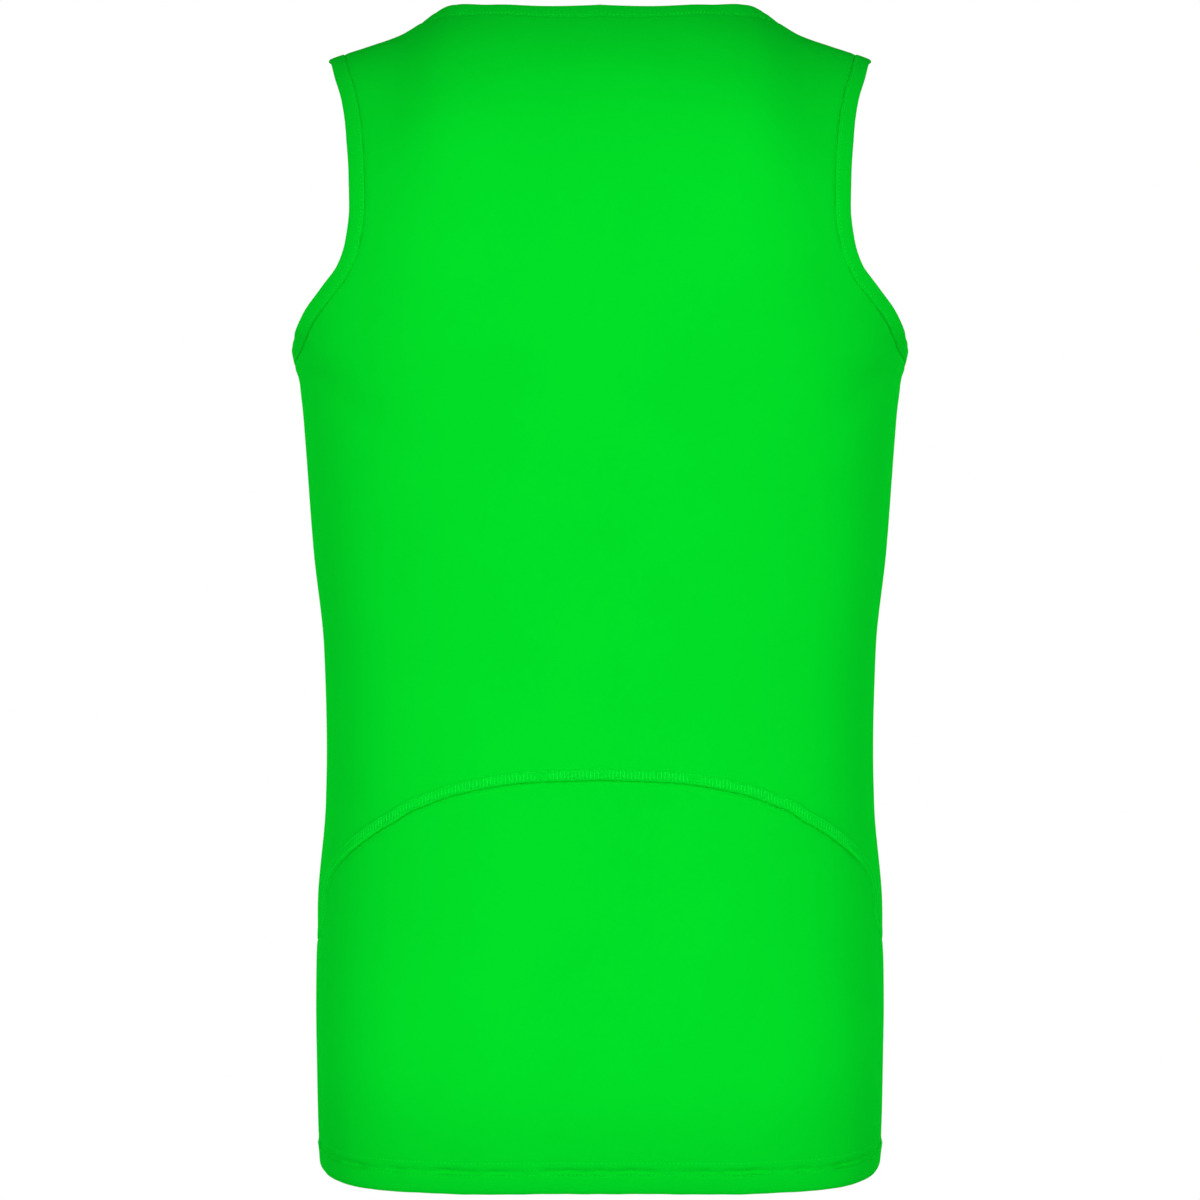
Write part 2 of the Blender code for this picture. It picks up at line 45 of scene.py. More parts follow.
# The worn form that all the cloth follows. Heights are in metres from the tops of the shoulders.
form = {
    "chestHeight": -0.150,  # above it the cloth rolls over towards the shoulder seam
    "rollLength": 0.220,
    "sectionColumns": ("height", "halfWidth", "backDepth", "frontDepth", "backSquare", "frontSquare"),
    "sections": (
        (-0.690, 0.1681, 0.0992, 0.0975, 2.70, 2.55),
        (-0.675, 0.1687, 0.1038, 0.1020, 2.68, 2.55),
        (-0.660, 0.1693, 0.1076, 0.1057, 2.65, 2.55),
        (-0.640, 0.1699, 0.1105, 0.1086, 2.62, 2.55),
        (-0.620, 0.1703, 0.1119, 0.1100, 2.61, 2.53),
        (-0.579, 0.1709, 0.1130, 0.1110, 2.60, 2.50),
        (-0.519, 0.1701, 0.1110, 0.1110, 2.50, 2.50),
        (-0.458, 0.1653, 0.1050, 0.1100, 2.45, 2.40),
        (-0.428, 0.1648, 0.1030, 0.1095, 2.40, 2.40),
        (-0.367, 0.1664, 0.1030, 0.1110, 2.35, 2.35),
        (-0.307, 0.1728, 0.1080, 0.1160, 2.30, 2.30),
        (-0.246, 0.1774, 0.1140, 0.1200, 2.30, 2.30),
        (-0.218, 0.1796, 0.1162, 0.1205, 2.30, 2.30),
        (-0.205, 0.1808, 0.1170, 0.1204, 2.30, 2.30),
        (-0.197, 0.1836, 0.1176, 0.1202, 2.30, 2.30),
        (-0.189, 0.1843, 0.1180, 0.1200, 2.30, 2.30),
        (-0.150, 0.1850, 0.1190, 0.1180, 2.30, 2.30),
        (-0.100, 0.1850, 0.1190, 0.1180, 2.30, 2.30),
    ),
    "shoulderColumns": ("across", "height", "backSquare", "frontSquare"),
    "shoulder": (
        (0.0000, 0.0305, 2.60, 2.15),
        (0.0500, 0.0280, 2.55, 2.15),
        (0.0900, 0.0197, 2.35, 2.10),
        (0.1050, 0.0127, 2.20, 2.10),
        (0.1200, 0.0042, 2.12, 2.05),
        (0.1400, -0.0026, 2.10, 2.05),
        (0.1550, -0.0074, 2.10, 2.05),
        (0.1650, -0.0118, 2.10, 2.05),
        (0.1850, -0.0300, 2.10, 2.05),
    ),
}

# Soft troughs (depth below 0) and ridges, each at its own place: the angle round from the back centre line
# towards the wearer's left, the way up, the heading from level, then its half length, half width and depth.
creases = {
    "girthRadius": 0.155,  # metres of cloth for each radian round
    "fadeUp": (0.020, 0.066),  # they fade out between these ways up, before the shoulder seam
    "columns": ("round", "up", "heading", "length", "width", "depth", "bend"),
    "rows": (
        (0.0, -0.052, 0.0, 0.045, 0.0100, 0.0009, 0.6),
        (0.0, -0.075, 0.0, 0.130, 0.0240, 0.0017, 0.4),
        (30.0, -0.095, 90.0, 0.090, 0.0300, 0.0030, 0.0),
        (-30.0, -0.095, 90.0, 0.090, 0.0300, 0.0030, 0.0),
        (48.0, -0.100, 90.0, 0.090, 0.0260, -0.0010, 0.0),
        (-48.0, -0.100, 90.0, 0.090, 0.0260, -0.0010, 0.0),
        (62.0, -0.205, 28.0, 0.045, 0.0090, -0.0009, 0.0),
        (-64.0, -0.200, -31.0, 0.038, 0.0080, -0.0008, 0.0),
        (48.0, -0.232, 36.0, 0.060, 0.0120, -0.0006, 1.5),
        (-46.0, -0.238, -33.0, 0.055, 0.0120, -0.0007, -1.0),
        (38.0, -0.380, 80.0, 0.090, 0.0200, -0.0007, 0.4),
        (-41.0, -0.365, -82.0, 0.080, 0.0190, -0.0006, -0.5),
        (16.0, -0.340, 88.0, 0.110, 0.0240, -0.0005, 0.0),
        (-14.0, -0.355, -86.0, 0.100, 0.0220, -0.0005, 0.0),
        (90.0, -0.530, 12.0, 0.030, 0.0080, -0.0008, 0.0),
        (-90.0, -0.533, -12.0, 0.030, 0.0080, -0.0008, 0.0),
        (88.0, -0.632, 70.0, 0.030, 0.0070, -0.0008, 0.0),
        (-87.0, -0.628, -72.0, 0.034, 0.0070, -0.0007, 0.0),
        (72.0, -0.640, 84.0, 0.045, 0.0100, -0.0007, 0.0),
        (-74.0, -0.636, -80.0, 0.040, 0.0110, -0.0007, 0.0),
        (30.0, -0.655, 76.0, 0.040, 0.0140, -0.0005, 0.0),
        (-25.0, -0.650, -82.0, 0.045, 0.0150, -0.0005, 0.0),
        (112.0, -0.215, -26.0, 0.048, 0.0090, -0.0016, 0.0),
        (-114.0, -0.210, 29.0, 0.044, 0.0085, -0.0014, 0.0),
        (128.0, -0.250, -38.0, 0.060, 0.0120, -0.0013, 0.8),
        (-131.0, -0.245, 34.0, 0.056, 0.0125, -0.0012, -0.8),
        (147.0, -0.400, 96.0, 0.095, 0.0210, -0.0014, 0.3),
        (-143.0, -0.385, -98.0, 0.085, 0.0200, -0.0012, -0.3),
        (168.0, -0.470, 90.0, 0.100, 0.0240, -0.0012, 0.0),
        (-164.0, -0.455, 92.0, 0.110, 0.0230, -0.0011, 0.0),
        (180.0, -0.098, 0.0, 0.060, 0.0140, -0.0014, -1.4),
        (152.0, -0.110, -52.0, 0.050, 0.0110, -0.0012, 0.0),
        (-150.0, -0.112, 49.0, 0.052, 0.0115, -0.0012, 0.0),
        (110.0, -0.645, 98.0, 0.040, 0.0100, -0.0007, 0.0),
        (-107.0, -0.640, 82.0, 0.042, 0.0110, -0.0007, 0.0),
        (150.0, -0.650, 94.0, 0.045, 0.0150, -0.0005, 0.0),
        (-158.0, -0.652, 86.0, 0.040, 0.0140, -0.0005, 0.0),
        (90.0, -0.2090, 0.0, 0.040, 0.0090, 0.0005, 0.0),
        (-90.0, -0.2090, 0.0, 0.040, 0.0090, 0.0007, 0.0),
        (90.0, -0.6625, 3.0, 0.022, 0.0042, 0.0013, 0.0),
        (-90.0, -0.6625, -4.0, 0.026, 0.0042, 0.0014, 0.0),
    ),
}


def tableColumn(table, names, name):
    return np.array([row[names.index(name)] for row in table])


def lengthsAlong(points):
    # The length run from the first point to each of them
    return np.concatenate([[0.0], np.cumsum(np.linalg.norm(np.diff(points, axis=0), axis=1))])


def valuesAt(at, run, values):
    # Linear interpolation of each column of the values
    return np.stack([np.interp(at, run, column) for column in values.T], axis=-1)


def smoothBetween(places, values, at):
    # A monotone cubic: on each stretch v0(1+2t)(1-t)^2 + m0 t(1-t)^2 + v1 t^2(3-2t) + m1 t^2(t-1)
    steps = np.diff(places)
    slopes = np.diff(values) / steps
    before, after = slopes[:-1], slopes[1:]
    firstWeight, secondWeight = steps[1:] * 2 + steps[:-1], steps[1:] + steps[:-1] * 2
    level = before * after <= 0
    safeBefore, safeAfter = np.where(level, 1.0, before), np.where(level, 1.0, after)
    middle = (firstWeight + secondWeight) / (firstWeight / safeBefore + secondWeight / safeAfter)
    tangents = np.concatenate([slopes[:1], np.where(level, 0.0, middle), slopes[-1:]])
    row = np.clip(np.searchsorted(places, at) - 1, 0, len(places) - 2)
    t = (at - places[row]) / steps[row]
    return (
        values[row] * (1 + 2 * t) * (1 - t) ** 2
        + tangents[row] * steps[row] * t * (1 - t) ** 2
        + values[row + 1] * t**2 * (3 - 2 * t)
        + tangents[row + 1] * steps[row] * t**2 * (t - 1)
    )


def sectionAt(name, height):
    names = form["sectionColumns"]
    places, values = (tableColumn(form["sections"], names, wanted) for wanted in ("height", name))
    return smoothBetween(places, values, height)


def shoulderAt(name, across):
    names = form["shoulderColumns"]
    places, values = (tableColumn(form["shoulder"], names, wanted) for wanted in ("across", name))
    return smoothBetween(places, values, across)


def superellipse(angle, square):
    # (sin a, cos a) / (sin^n a + cos^n a)^(1/n)
    sideways, forward = np.sin(angle), np.clip(np.cos(angle), 0.0, None)
    size = (sideways**square + forward**square) ** (1 / square)
    return sideways / size, forward / size


def named(side, what):
    return ("back" if side == back else "front") + what


def plainCloth(side, places):
    # x = half width * s(turn), y = depth * c(turn) * c(roll), z = height + rise * s(roll),
    # s and c being the two coordinates of a superellipse
    turn, climb = places[..., 0], places[..., 1]
    height = form["chestHeight"] + np.minimum(climb, 0.0)
    roll = np.maximum(climb, 0.0) / form["rollLength"] * quarter
    sideways, forward = superellipse(np.abs(turn), sectionAt(named(side, "Square"), height))
    across = sectionAt("halfWidth", height) * sideways
    reach = sectionAt(named(side, "Depth"), height) * forward
    risen, left = superellipse(roll, shoulderAt(named(side, "Square"), across))
    rise = (shoulderAt("height", across) - form["chestHeight"]) * risen
    return np.stack([np.sign(turn) * across, side * reach * left, height + rise], axis=-1)


def outwardNormals(side, places):
    # The cross product of the runs along the climb and the turn, by central differences
    nudge = 1e-4
    low, high = np.array([-quarter, -1.0]), np.array([quarter, form["rollLength"]])
    runs = []
    for axis in (0, 1):
        step = np.zeros(2)
        step[axis] = nudge
        ahead, behind = np.clip(places + step, low, high), np.clip(places - step, low, high)
        runs.append(plainCloth(side, ahead) - plainCloth(side, behind))
    normal = side * np.cross(runs[1], runs[0])
    return normal / np.linalg.norm(normal, axis=-1, keepdims=True)


def smoothStep(low, high, at):
    t = np.clip((at - low) / (high - low), 0.0, 1.0)
    return t * t * (3 - 2 * t)


def unevenness(around, pitch, start=0.0):
    # A slow mix of three waves, from 0 to 1, round the body
    at = around / pitch + start
    return 0.5 + 0.22 * np.sin(at) + 0.17 * np.sin(2.37 * at + 1.1) + 0.11 * np.sin(5.13 * at + 2.3)


def creaseDepth(side, places):
    # The sum of depth * exp(-(c/width)^2) * exp(-(a/length)^4), a and c lying along and across each crease
    turn, up = places[..., 0], places[..., 1] + form["chestHeight"]
    around = turn if side == back else np.where(turn < 0, -1.0, 1.0) * np.pi - turn
    total = np.zeros(turn.shape)
    for row in creases["rows"]:
        crease = dict(zip(creases["columns"], row))
        apart = (around - math.radians(crease["round"]) + np.pi) % (2 * np.pi) - np.pi
        sideways, upward = apart * creases["girthRadius"], up - crease["up"]
        heading = math.radians(crease["heading"])
        along = sideways * math.cos(heading) + upward * math.sin(heading)
        across = upward * math.cos(heading) - sideways * math.sin(heading) + crease["bend"] * along**2
        fade = (across / crease["width"]) ** 2 + (along / crease["length"]) ** 4
        total += crease["depth"] * np.exp(-fade)
    return total * (1 - smoothStep(*creases["fadeUp"], up))


def wornCloth(side, places):
    # The plain form moved along its normals by the creases' depth
    normals = outwardNormals(side, places)
    return plainCloth(side, places) + normals * creaseDepth(side, places)[..., None], normals


def placeOf(side, points):
    # The inverse of plainCloth, for points near it on the wearer's left
    across, reach, up = points[..., 0], side * points[..., 1], points[..., 2]
    height = np.minimum(up, form["chestHeight"])
    square = sectionAt(named(side, "Square"), height)
    sideways = np.clip(across / sectionAt("halfWidth", height), 0.0, 1.0)
    forward = (1 - sideways**square) ** (1 / square)
    above = up > form["chestHeight"]
    depth = sectionAt(named(side, "Depth"), height)
    turn = np.arctan2(sideways, np.where(above, forward, np.clip(reach / depth, 0.0, None)))
    risen = (up - form["chestHeight"]) / (shoulderAt("height", across) - form["chestHeight"])
    left = np.divide(reach, depth * forward, out=np.zeros_like(reach), where=forward > 0)
    roll = np.arctan2(np.clip(risen, 0.0, None), np.clip(left, 0.0, None))
    climb = np.where(above, roll / quarter * form["rollLength"], up - form["chestHeight"])
    return np.stack([turn, climb], axis=-1)


def climbAt(side, turn, height):
    # The climb at which the cloth reaches a height, at a given turn
    chest = np.full_like(turn, form["chestHeight"])
    sideways, _ = superellipse(turn, sectionAt(named(side, "Square"), chest))
    across = sectionAt("halfWidth", chest) * sideways
    square = shoulderAt(named(side, "Square"), across)
    below = height - form["chestHeight"]
    risen = np.clip(below / (shoulderAt("height", across) - form["chestHeight"]), 0.0, 1.0)
    roll = np.arctan2(risen, (1 - risen**square) ** (1 / square))
    return np.where(below > 0, roll / quarter * form["rollLength"], below)


# The seams: where they run on the worn form, and the fine cells beside them
seams = {
    "samples": 1201,
    "neckHalfWidth": 0.110,
    "backNeckReach": 0.0784,
    "backNeckSquare": 2.2,
    "frontNeckBottom": -0.100,
    "frontNeckSquare": 2.15,
    "shoulderTip": 0.1550,
    "columns": ("turn", "height"),
    "backArmhole": (
        (90.0, -0.1965), (75.0, -0.1915), (67.8, -0.1840), (61.5, -0.1719), (55.2, -0.1600), (49.6, -0.1467),
        (46.4, -0.1290), (45.1, -0.1060), (45.2, -0.0860), (46.2, -0.0611), (48.2, -0.0373), (50.8, -0.0200),
    ),
    "frontArmhole": (
        (90.0, -0.1965), (75.0, -0.1910), (67.0, -0.1815), (59.5, -0.1680), (52.8, -0.1530), (47.4, -0.1360),
        (44.2, -0.1170), (43.0, -0.0950), (43.4, -0.0750), (45.3, -0.0520), (48.0, -0.0330), (50.8, -0.0190),
    ),
    "arch": (
        (0.0, -0.4402), (14.0, -0.4417), (28.0, -0.4484), (40.0, -0.4612), (50.0, -0.4755), (59.5, -0.4905),
        (65.0, -0.5015), (66.8, -0.5115), (67.0, -0.5215), (70.5, -0.5325), (79.0, -0.5395), (90.0, -0.5420),
    ),
    "archKink": {"turn": 40.8, "width": 2.8, "jog": 0.0017},
    "archSplitTurn": 52.0,
    "archSplitShare": 0.43,  # of the columns lie between the centre and that turn
    "fineSteps": (0.00012, 0.00030, 0.00060, 0.00110, 0.00180, 0.00280),  # distances from a seam
}


def runLengths(side, curve):
    return lengthsAlong(plainCloth(side, curve))


def spacedBy(side, curve, at):
    # A curve's places at given shares of its length
    run = runLengths(side, curve)
    return valuesAt(at * run[-1], run, curve)


def shares(length, count, atStart=False, atEnd=False):
    # Shares of a length for count cells, with fine cells beside a seam at its start or end
    fine = np.array(seams["fineSteps"]) / length
    first, last = (fine[-1] if atStart else 0.0), (1 - fine[-1] if atEnd else 1.0)
    middle = np.linspace(first, last, count - len(fine) * (atStart + atEnd) + 1)
    head = [[0.0], fine[:-1]] if atStart else []
    tail = [1 - fine[:-1][::-1], [1.0]] if atEnd else []
    return np.concatenate([*head, middle, *tail])


def throughPlaces(rows):
    # A smooth dense curve through a table's places
    rows = np.array(rows)
    halfWidth = sectionAt("halfWidth", form["chestHeight"])
    run = np.concatenate([[0.0], np.cumsum(np.linalg.norm(np.diff(rows, axis=0) * (halfWidth, 1.0), axis=1))])
    at = np.linspace(0.0, run[-1], seams["samples"])
    return np.stack([smoothBetween(run, rows[:, axis], at) for axis in (0, 1)], axis=-1)


def turnAcross(side, across):
    # The turn at which the chest's section is that far from the centre line
    square = sectionAt(named(side, "Square"), form["chestHeight"])
    sideways = across / sectionAt("halfWidth", form["chestHeight"])
    return np.arctan2(sideways, (1 - sideways**square) ** (1 / square))


def armholeSeam(side):
    table = seams[named(side, "Armhole")]
    turn = np.radians(tableColumn(table, seams["columns"], "turn"))
    climb = climbAt(side, turn, tableColumn(table, seams["columns"], "height"))
    return throughPlaces([*zip(turn, climb), (turnAcross(side, seams["shoulderTip"]), form["rollLength"])])


def neckSeam(side):
    # Behind, a superellipse seen from above; in front, one seen from the front
    angle = np.linspace(0.0, quarter, seams["samples"])
    square = seams["backNeckSquare"] if side == back else seams["frontNeckSquare"]
    sideways, forward = superellipse(angle, square)
    turn = turnAcross(side, seams["neckHalfWidth"] * sideways)
    if side == front:
        top = float(shoulderAt("height", seams["neckHalfWidth"]))
        climb = climbAt(side, turn, top - (top - seams["frontNeckBottom"]) * forward)
    else:
        chest = plainCloth(side, np.stack([turn, np.zeros_like(turn)], axis=-1))
        left = np.clip(seams["backNeckReach"] * forward / np.abs(chest[:, 1]), 0.0, 1.0)
        bend = shoulderAt("backSquare", chest[:, 0])
        climb = form["rollLength"] * np.arctan2((1 - left**bend) ** (1 / bend), left) / quarter
    return np.stack([turn, np.minimum(climb, form["rollLength"])], axis=-1)


def archSeam(count):
    # The table's curve with a small jog at the kink, j a exp(-a^2), a being the turns from it over its width
    turn = np.radians(tableColumn(seams["arch"], seams["columns"], "turn"))
    height = tableColumn(seams["arch"], seams["columns"], "height")
    dense = throughPlaces(np.stack([turn, height - form["chestHeight"]], axis=-1))
    kink = seams["archKink"]
    apart = (np.degrees(dense[:, 0]) - kink["turn"]) / kink["width"]
    dense[:, 1] -= kink["jog"] * apart * np.exp(-(apart**2))
    index = int(np.argmin(np.abs(dense[:, 0] - math.radians(seams["archSplitTurn"]))))
    before = round(count * seams["archSplitShare"])
    inner, outer = dense[: index + 1], dense[index:]
    innerPart = spacedBy(back, inner, shares(1.0, before))
    outerPart = spacedBy(back, outer, shares(runLengths(back, outer)[-1], count - before, atEnd=True))
    return np.concatenate([innerPart[:-1], outerPart])


def shiftedSeam(side, curve, way):
    # A curve moved along the cloth, upwards across its own run. Its ends keep their turns.
    points, normals = plainCloth(side, curve), outwardNormals(side, curve)
    across = np.cross(normals, np.gradient(points, axis=0))
    across *= np.sign(across[:1, 2:]) / np.linalg.norm(across, axis=-1, keepdims=True)
    moved = placeOf(side, points + across * way)
    moved[0, 0], moved[-1, 0] = curve[0, 0], curve[-1, 0]
    return moved


# How finely the panels are divided, in cells of about 3 mm
cells = {
    "neck": 32, "strap": 28, "armhole": 38, "strapRows": 62, "easing": 900, "easingGrid": (22, 44),
    "neckStretch": {back: 0.066, front: 0.088}, "underarmStretch": 0.110,
    # The height between a panel's lowest rows and its top edge, and the number of cells in it
    "frontBody": (0.50, 138), "upperBackBody": (0.30, 84), "lowerBackBody": (0.20, 64),
}


def coonsPatch(bottom, top, left, right):
    # The sum of the two ruled surfaces between opposite curves, less the one through the corners
    along = np.linspace(0.0, 1.0, len(bottom))[None, :, None]
    up = np.linspace(0.0, 1.0, len(left))[:, None, None]
    ruled = (1 - up) * bottom[None] + up * top[None] + (1 - along) * left[:, None] + along * right[:, None]
    lowCorners = (1 - along) * bottom[0] + along * bottom[-1]
    highCorners = (1 - along) * top[0] + along * top[-1]
    return ruled - (1 - up) * lowCorners - up * highCorners


def easedPatch(patch):
    # Each inner place moved to the middle of its four neighbours, again and again
    patch = patch.copy()
    for _ in range(cells["easing"]):
        patch[1:-1, 1:-1] = (patch[:-2, 1:-1] + patch[2:, 1:-1] + patch[1:-1, :-2] + patch[1:-1, 2:]) / 4
    return patch


def resampled(patch, rowShares, columnShares):
    # Linear interpolation of a patch at shares of its rows and columns
    rowAt, columnAt = rowShares * (patch.shape[0] - 1), columnShares * (patch.shape[1] - 1)
    row = np.clip(rowAt.astype(int), 0, patch.shape[0] - 2)
    column = np.clip(columnAt.astype(int), 0, patch.shape[1] - 2)
    u, v = (rowAt - row)[:, None, None], (columnAt - column)[None, :, None]
    low = patch[row][:, column] * (1 - v) + patch[row][:, column + 1] * v
    high = patch[row + 1][:, column] * (1 - v) + patch[row + 1][:, column + 1] * v
    return low * (1 - u) + high * u


def topEdges(side):
    # The curve along which a panel's body ends, through neck, strap and armhole, and the strap above it
    neckLine, armLine = neckSeam(side), armholeSeam(side)
    neckCut = int(np.argmin(np.abs(runLengths(side, neckLine) - cells["neckStretch"][side])))
    armCut = int(np.argmin(np.abs(runLengths(side, armLine) - cells["underarmStretch"])))
    neckLow = spacedBy(side, neckLine[: neckCut + 1], shares(1.0, cells["neck"]))
    underarm = shares(cells["underarmStretch"], cells["armhole"], atStart=True)
    armLow = spacedBy(side, armLine[: armCut + 1], underarm)
    columns, rows = cells["easingGrid"]
    cross = np.linspace(neckLow[-1], armLow[-1], columns + 1)
    tops = np.linspace(neckLine[-1], armLine[-1], columns + 1)
    neckHigh = spacedBy(side, neckLine[neckCut:], shares(1.0, rows))
    armHigh = spacedBy(side, armLine[armCut:], shares(1.0, rows))
    patch = easedPatch(coonsPatch(cross, tops, neckHigh, armHigh))
    strapWidth, strapLength = runLengths(side, cross)[-1], runLengths(side, armHigh)[-1]
    rowShares = shares(strapLength, cells["strapRows"], atEnd=True)
    strap = resampled(patch, rowShares, shares(strapWidth, cells["strap"], atStart=True, atEnd=True))
    return np.concatenate([neckLow[:-1], strap[0], armLow[::-1][1:]]), strap


def panelRows(low, top, body):
    # A panel's lowest rows, then rows at shares of the way from the last of them to its top edge
    rungs = shares(*cells[body], atEnd=True)[1:]
    rows = np.concatenate([low, low[-1][None] + (top - low[-1])[None] * rungs[:, None, None]])
    rows[:, -1, 0] = quarter
    return rows


def gridCells(shape, first=0):
    numbers = first + np.arange(shape[0] * shape[1]).reshape(shape)
    corners = [numbers[:-1, :-1], numbers[:-1, 1:], numbers[1:, 1:], numbers[1:, :-1]]
    return np.stack(corners, axis=-1).reshape(-1, 4)


def bodyAndStrap(rows, strap):
    # The strap's lowest row is the body's own
    bodyCount = rows.shape[0] * rows.shape[1]
    places = np.concatenate([rows.reshape(-1, 2), strap[1:].reshape(-1, 2)])
    strapCells = gridCells(strap.shape[:2], bodyCount - strap.shape[1])
    shared = (rows.shape[0] - 1) * rows.shape[1] + cells["neck"] + np.arange(strap.shape[1])
    low = strapCells < bodyCount
    strapCells[low] = shared[strapCells[low] - (bodyCount - strap.shape[1])]
    return places, np.concatenate([gridCells(rows.shape[:2]), strapCells])


def bothSides(places, quads):
    # The left half's places, then the right half's; the cells of both share the centre line
    mirrored = np.where(places[:, 0] == 0.0, 0, len(places)) + np.arange(len(places))
    return np.concatenate([places, places * (-1, 1)]), np.concatenate([quads, mirrored[quads][:, ::-1]])


def distanceToLine(points, line):
    # The least distance from each point to the segments of a polyline, in blocks to spare memory
    starts, runs = line[:-1], np.diff(line, axis=0)
    squares = np.maximum((runs**2).sum(-1), 1e-18)
    found = []
    for block in np.array_split(points, max(1, len(points) // 2000)):
        away = block[:, None] - starts[None]
        t = np.clip((away * runs).sum(-1) / squares, 0.0, 1.0)
        found.append(np.sqrt(((away - t[..., None] * runs) ** 2).sum(-1).min(-1)))
    return np.concatenate(found)


def wallMesh(outer, inner, quads):
    # A closed wall: the outer face, the inner face turned round, and a rim along the open edges
    used, quads = np.unique(quads, return_inverse=True)
    outer, inner, quads = outer[used], inner[used], quads.reshape(-1, 4)
    count = len(outer)
    edges = np.concatenate([np.stack([quads[:, k], quads[:, (k + 1) % 4]], axis=-1) for k in range(4)])
    forward, backward = edges[:, 0] * count + edges[:, 1], edges[:, 1] * count + edges[:, 0]
    rim = edges[~np.isin(forward, backward)]
    sides = np.stack([rim[:, 1], rim[:, 0], rim[:, 0] + count, rim[:, 1] + count], axis=-1)
    return np.concatenate([outer, inner]), np.concatenate([quads, quads[:, ::-1] + count, sides]), used


def makePiece(name, points, faces, finish, patternUv=None, sharpAngle=55):
    # patternUv gives each vertex its place on the cut, in metres
    mesh = bpy.data.meshes.new(name)
    mesh.from_pydata(points.tolist(), [], [list(face) for face in faces])
    if patternUv is not None:
        layer = mesh.uv_layers.new(name="cut")
        corners = np.empty(len(mesh.loops), np.int32)
        mesh.loops.foreach_get("vertex_index", corners)
        layer.data.foreach_set("uv", patternUv[corners].astype(np.float32).reshape(-1))
    shape = bmesh.new()
    shape.from_mesh(mesh)
    if shape.calc_volume(signed=True) < 0:
        bmesh.ops.reverse_faces(shape, faces=shape.faces[:])
    shape.to_mesh(mesh)
    shape.free()
    mesh.shade_smooth()
    mesh.set_sharp_from_angle(angle=math.radians(sharpAngle))
    mesh.materials.append(finish)
    piece = bpy.data.objects.new(name, mesh)
    bpy.context.scene.collection.objects.link(piece)
    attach(piece, "root")
    return piece


# The green polyester knit: fine wales and courses, a soft sheen, a little unevenness, and painted shade
# towards the hem
knit = {
    "colour": (0.0005, 0.780, 0.0220),
    "shade": (0.0004, 0.720, 0.0200),
    "patches": {"Scale": 14.0, "Detail": 4.0},
    "wale": 0.00052,
    "course": 0.00043,
    "courseShare": 0.5,  # how strong the courses are beside the wales
    "relief": {"Strength": 0.5, "Distance": 0.00004},
    "roughness": 0.62,
    "specular": 0.0,
    "sheen": {"Sheen Weight": 0.06, "Sheen Roughness": 0.45},
    "tint": (0.05, 1.0, 0.15),
    "hemPaintedShade": 0.96,  # painted shade: the share of its tone that is left towards the hem, standing in for the light falling off where it curves under
    "paintedShadeTop": (-0.500, -0.455),  # the painted shade fades out, and the tone is whole again, between these ways up the cut
}
# The binding's tones are darker than the knit's: painted shade, for the doubled strip letting less light
# through
binding = dict(knit, colour=(0.0005, 0.730, 0.0210), shade=(0.0004, 0.680, 0.0190))
thread = {
    "colour": (0.0060, 0.940, 0.0480),
    "shade": (0.0051, 0.799, 0.0408),
    "twistScale": 900.0,
    "roughness": 0.48,
    "specular": 0.0,
    "tint": (0.05, 1.0, 0.15),
}


def link(tree, fromSocket, toSocket):
    tree.links.new(fromSocket, toSocket)


def addNode(tree, kind, values, **settings):
    node = tree.nodes.new("ShaderNode" + kind)
    for name, setting in settings.items():
        setattr(node, name, setting)
    for name, value in values.items():
        node.inputs[name].default_value = value
    return node


def startMaterial(name, look):
    # A material with its plain values set, its shader, and a mix of the look's shade and colour
    made = bpy.data.materials.new(name)
    made.use_nodes = True
    tree = made.node_tree
    shader = tree.nodes["Principled BSDF"]
    shader.inputs["Roughness"].default_value = look["roughness"]
    shader.inputs["Specular IOR Level"].default_value = look["specular"]
    shader.inputs["Specular Tint"].default_value = (*look["tint"], 1.0)
    ends = {"A": (*look["shade"], 1.0), "B": (*look["colour"], 1.0)}
    tones = tree.nodes.new("ShaderNodeMix")
    tones.data_type = "RGBA"
    for end, colour in ends.items():
        tones.inputs[end].default_value = colour
    return made, tree, shader, tones


def noiseOver(tree, values, tones):
    # Noise on Object coordinates chooses the tone
    place = addNode(tree, "TexCoord", {})
    noise = addNode(tree, "TexNoise", values)
    link(tree, place.outputs["Object"], noise.inputs["Vector"])
    link(tree, noise.outputs["Fac"], tones.inputs["Factor"])


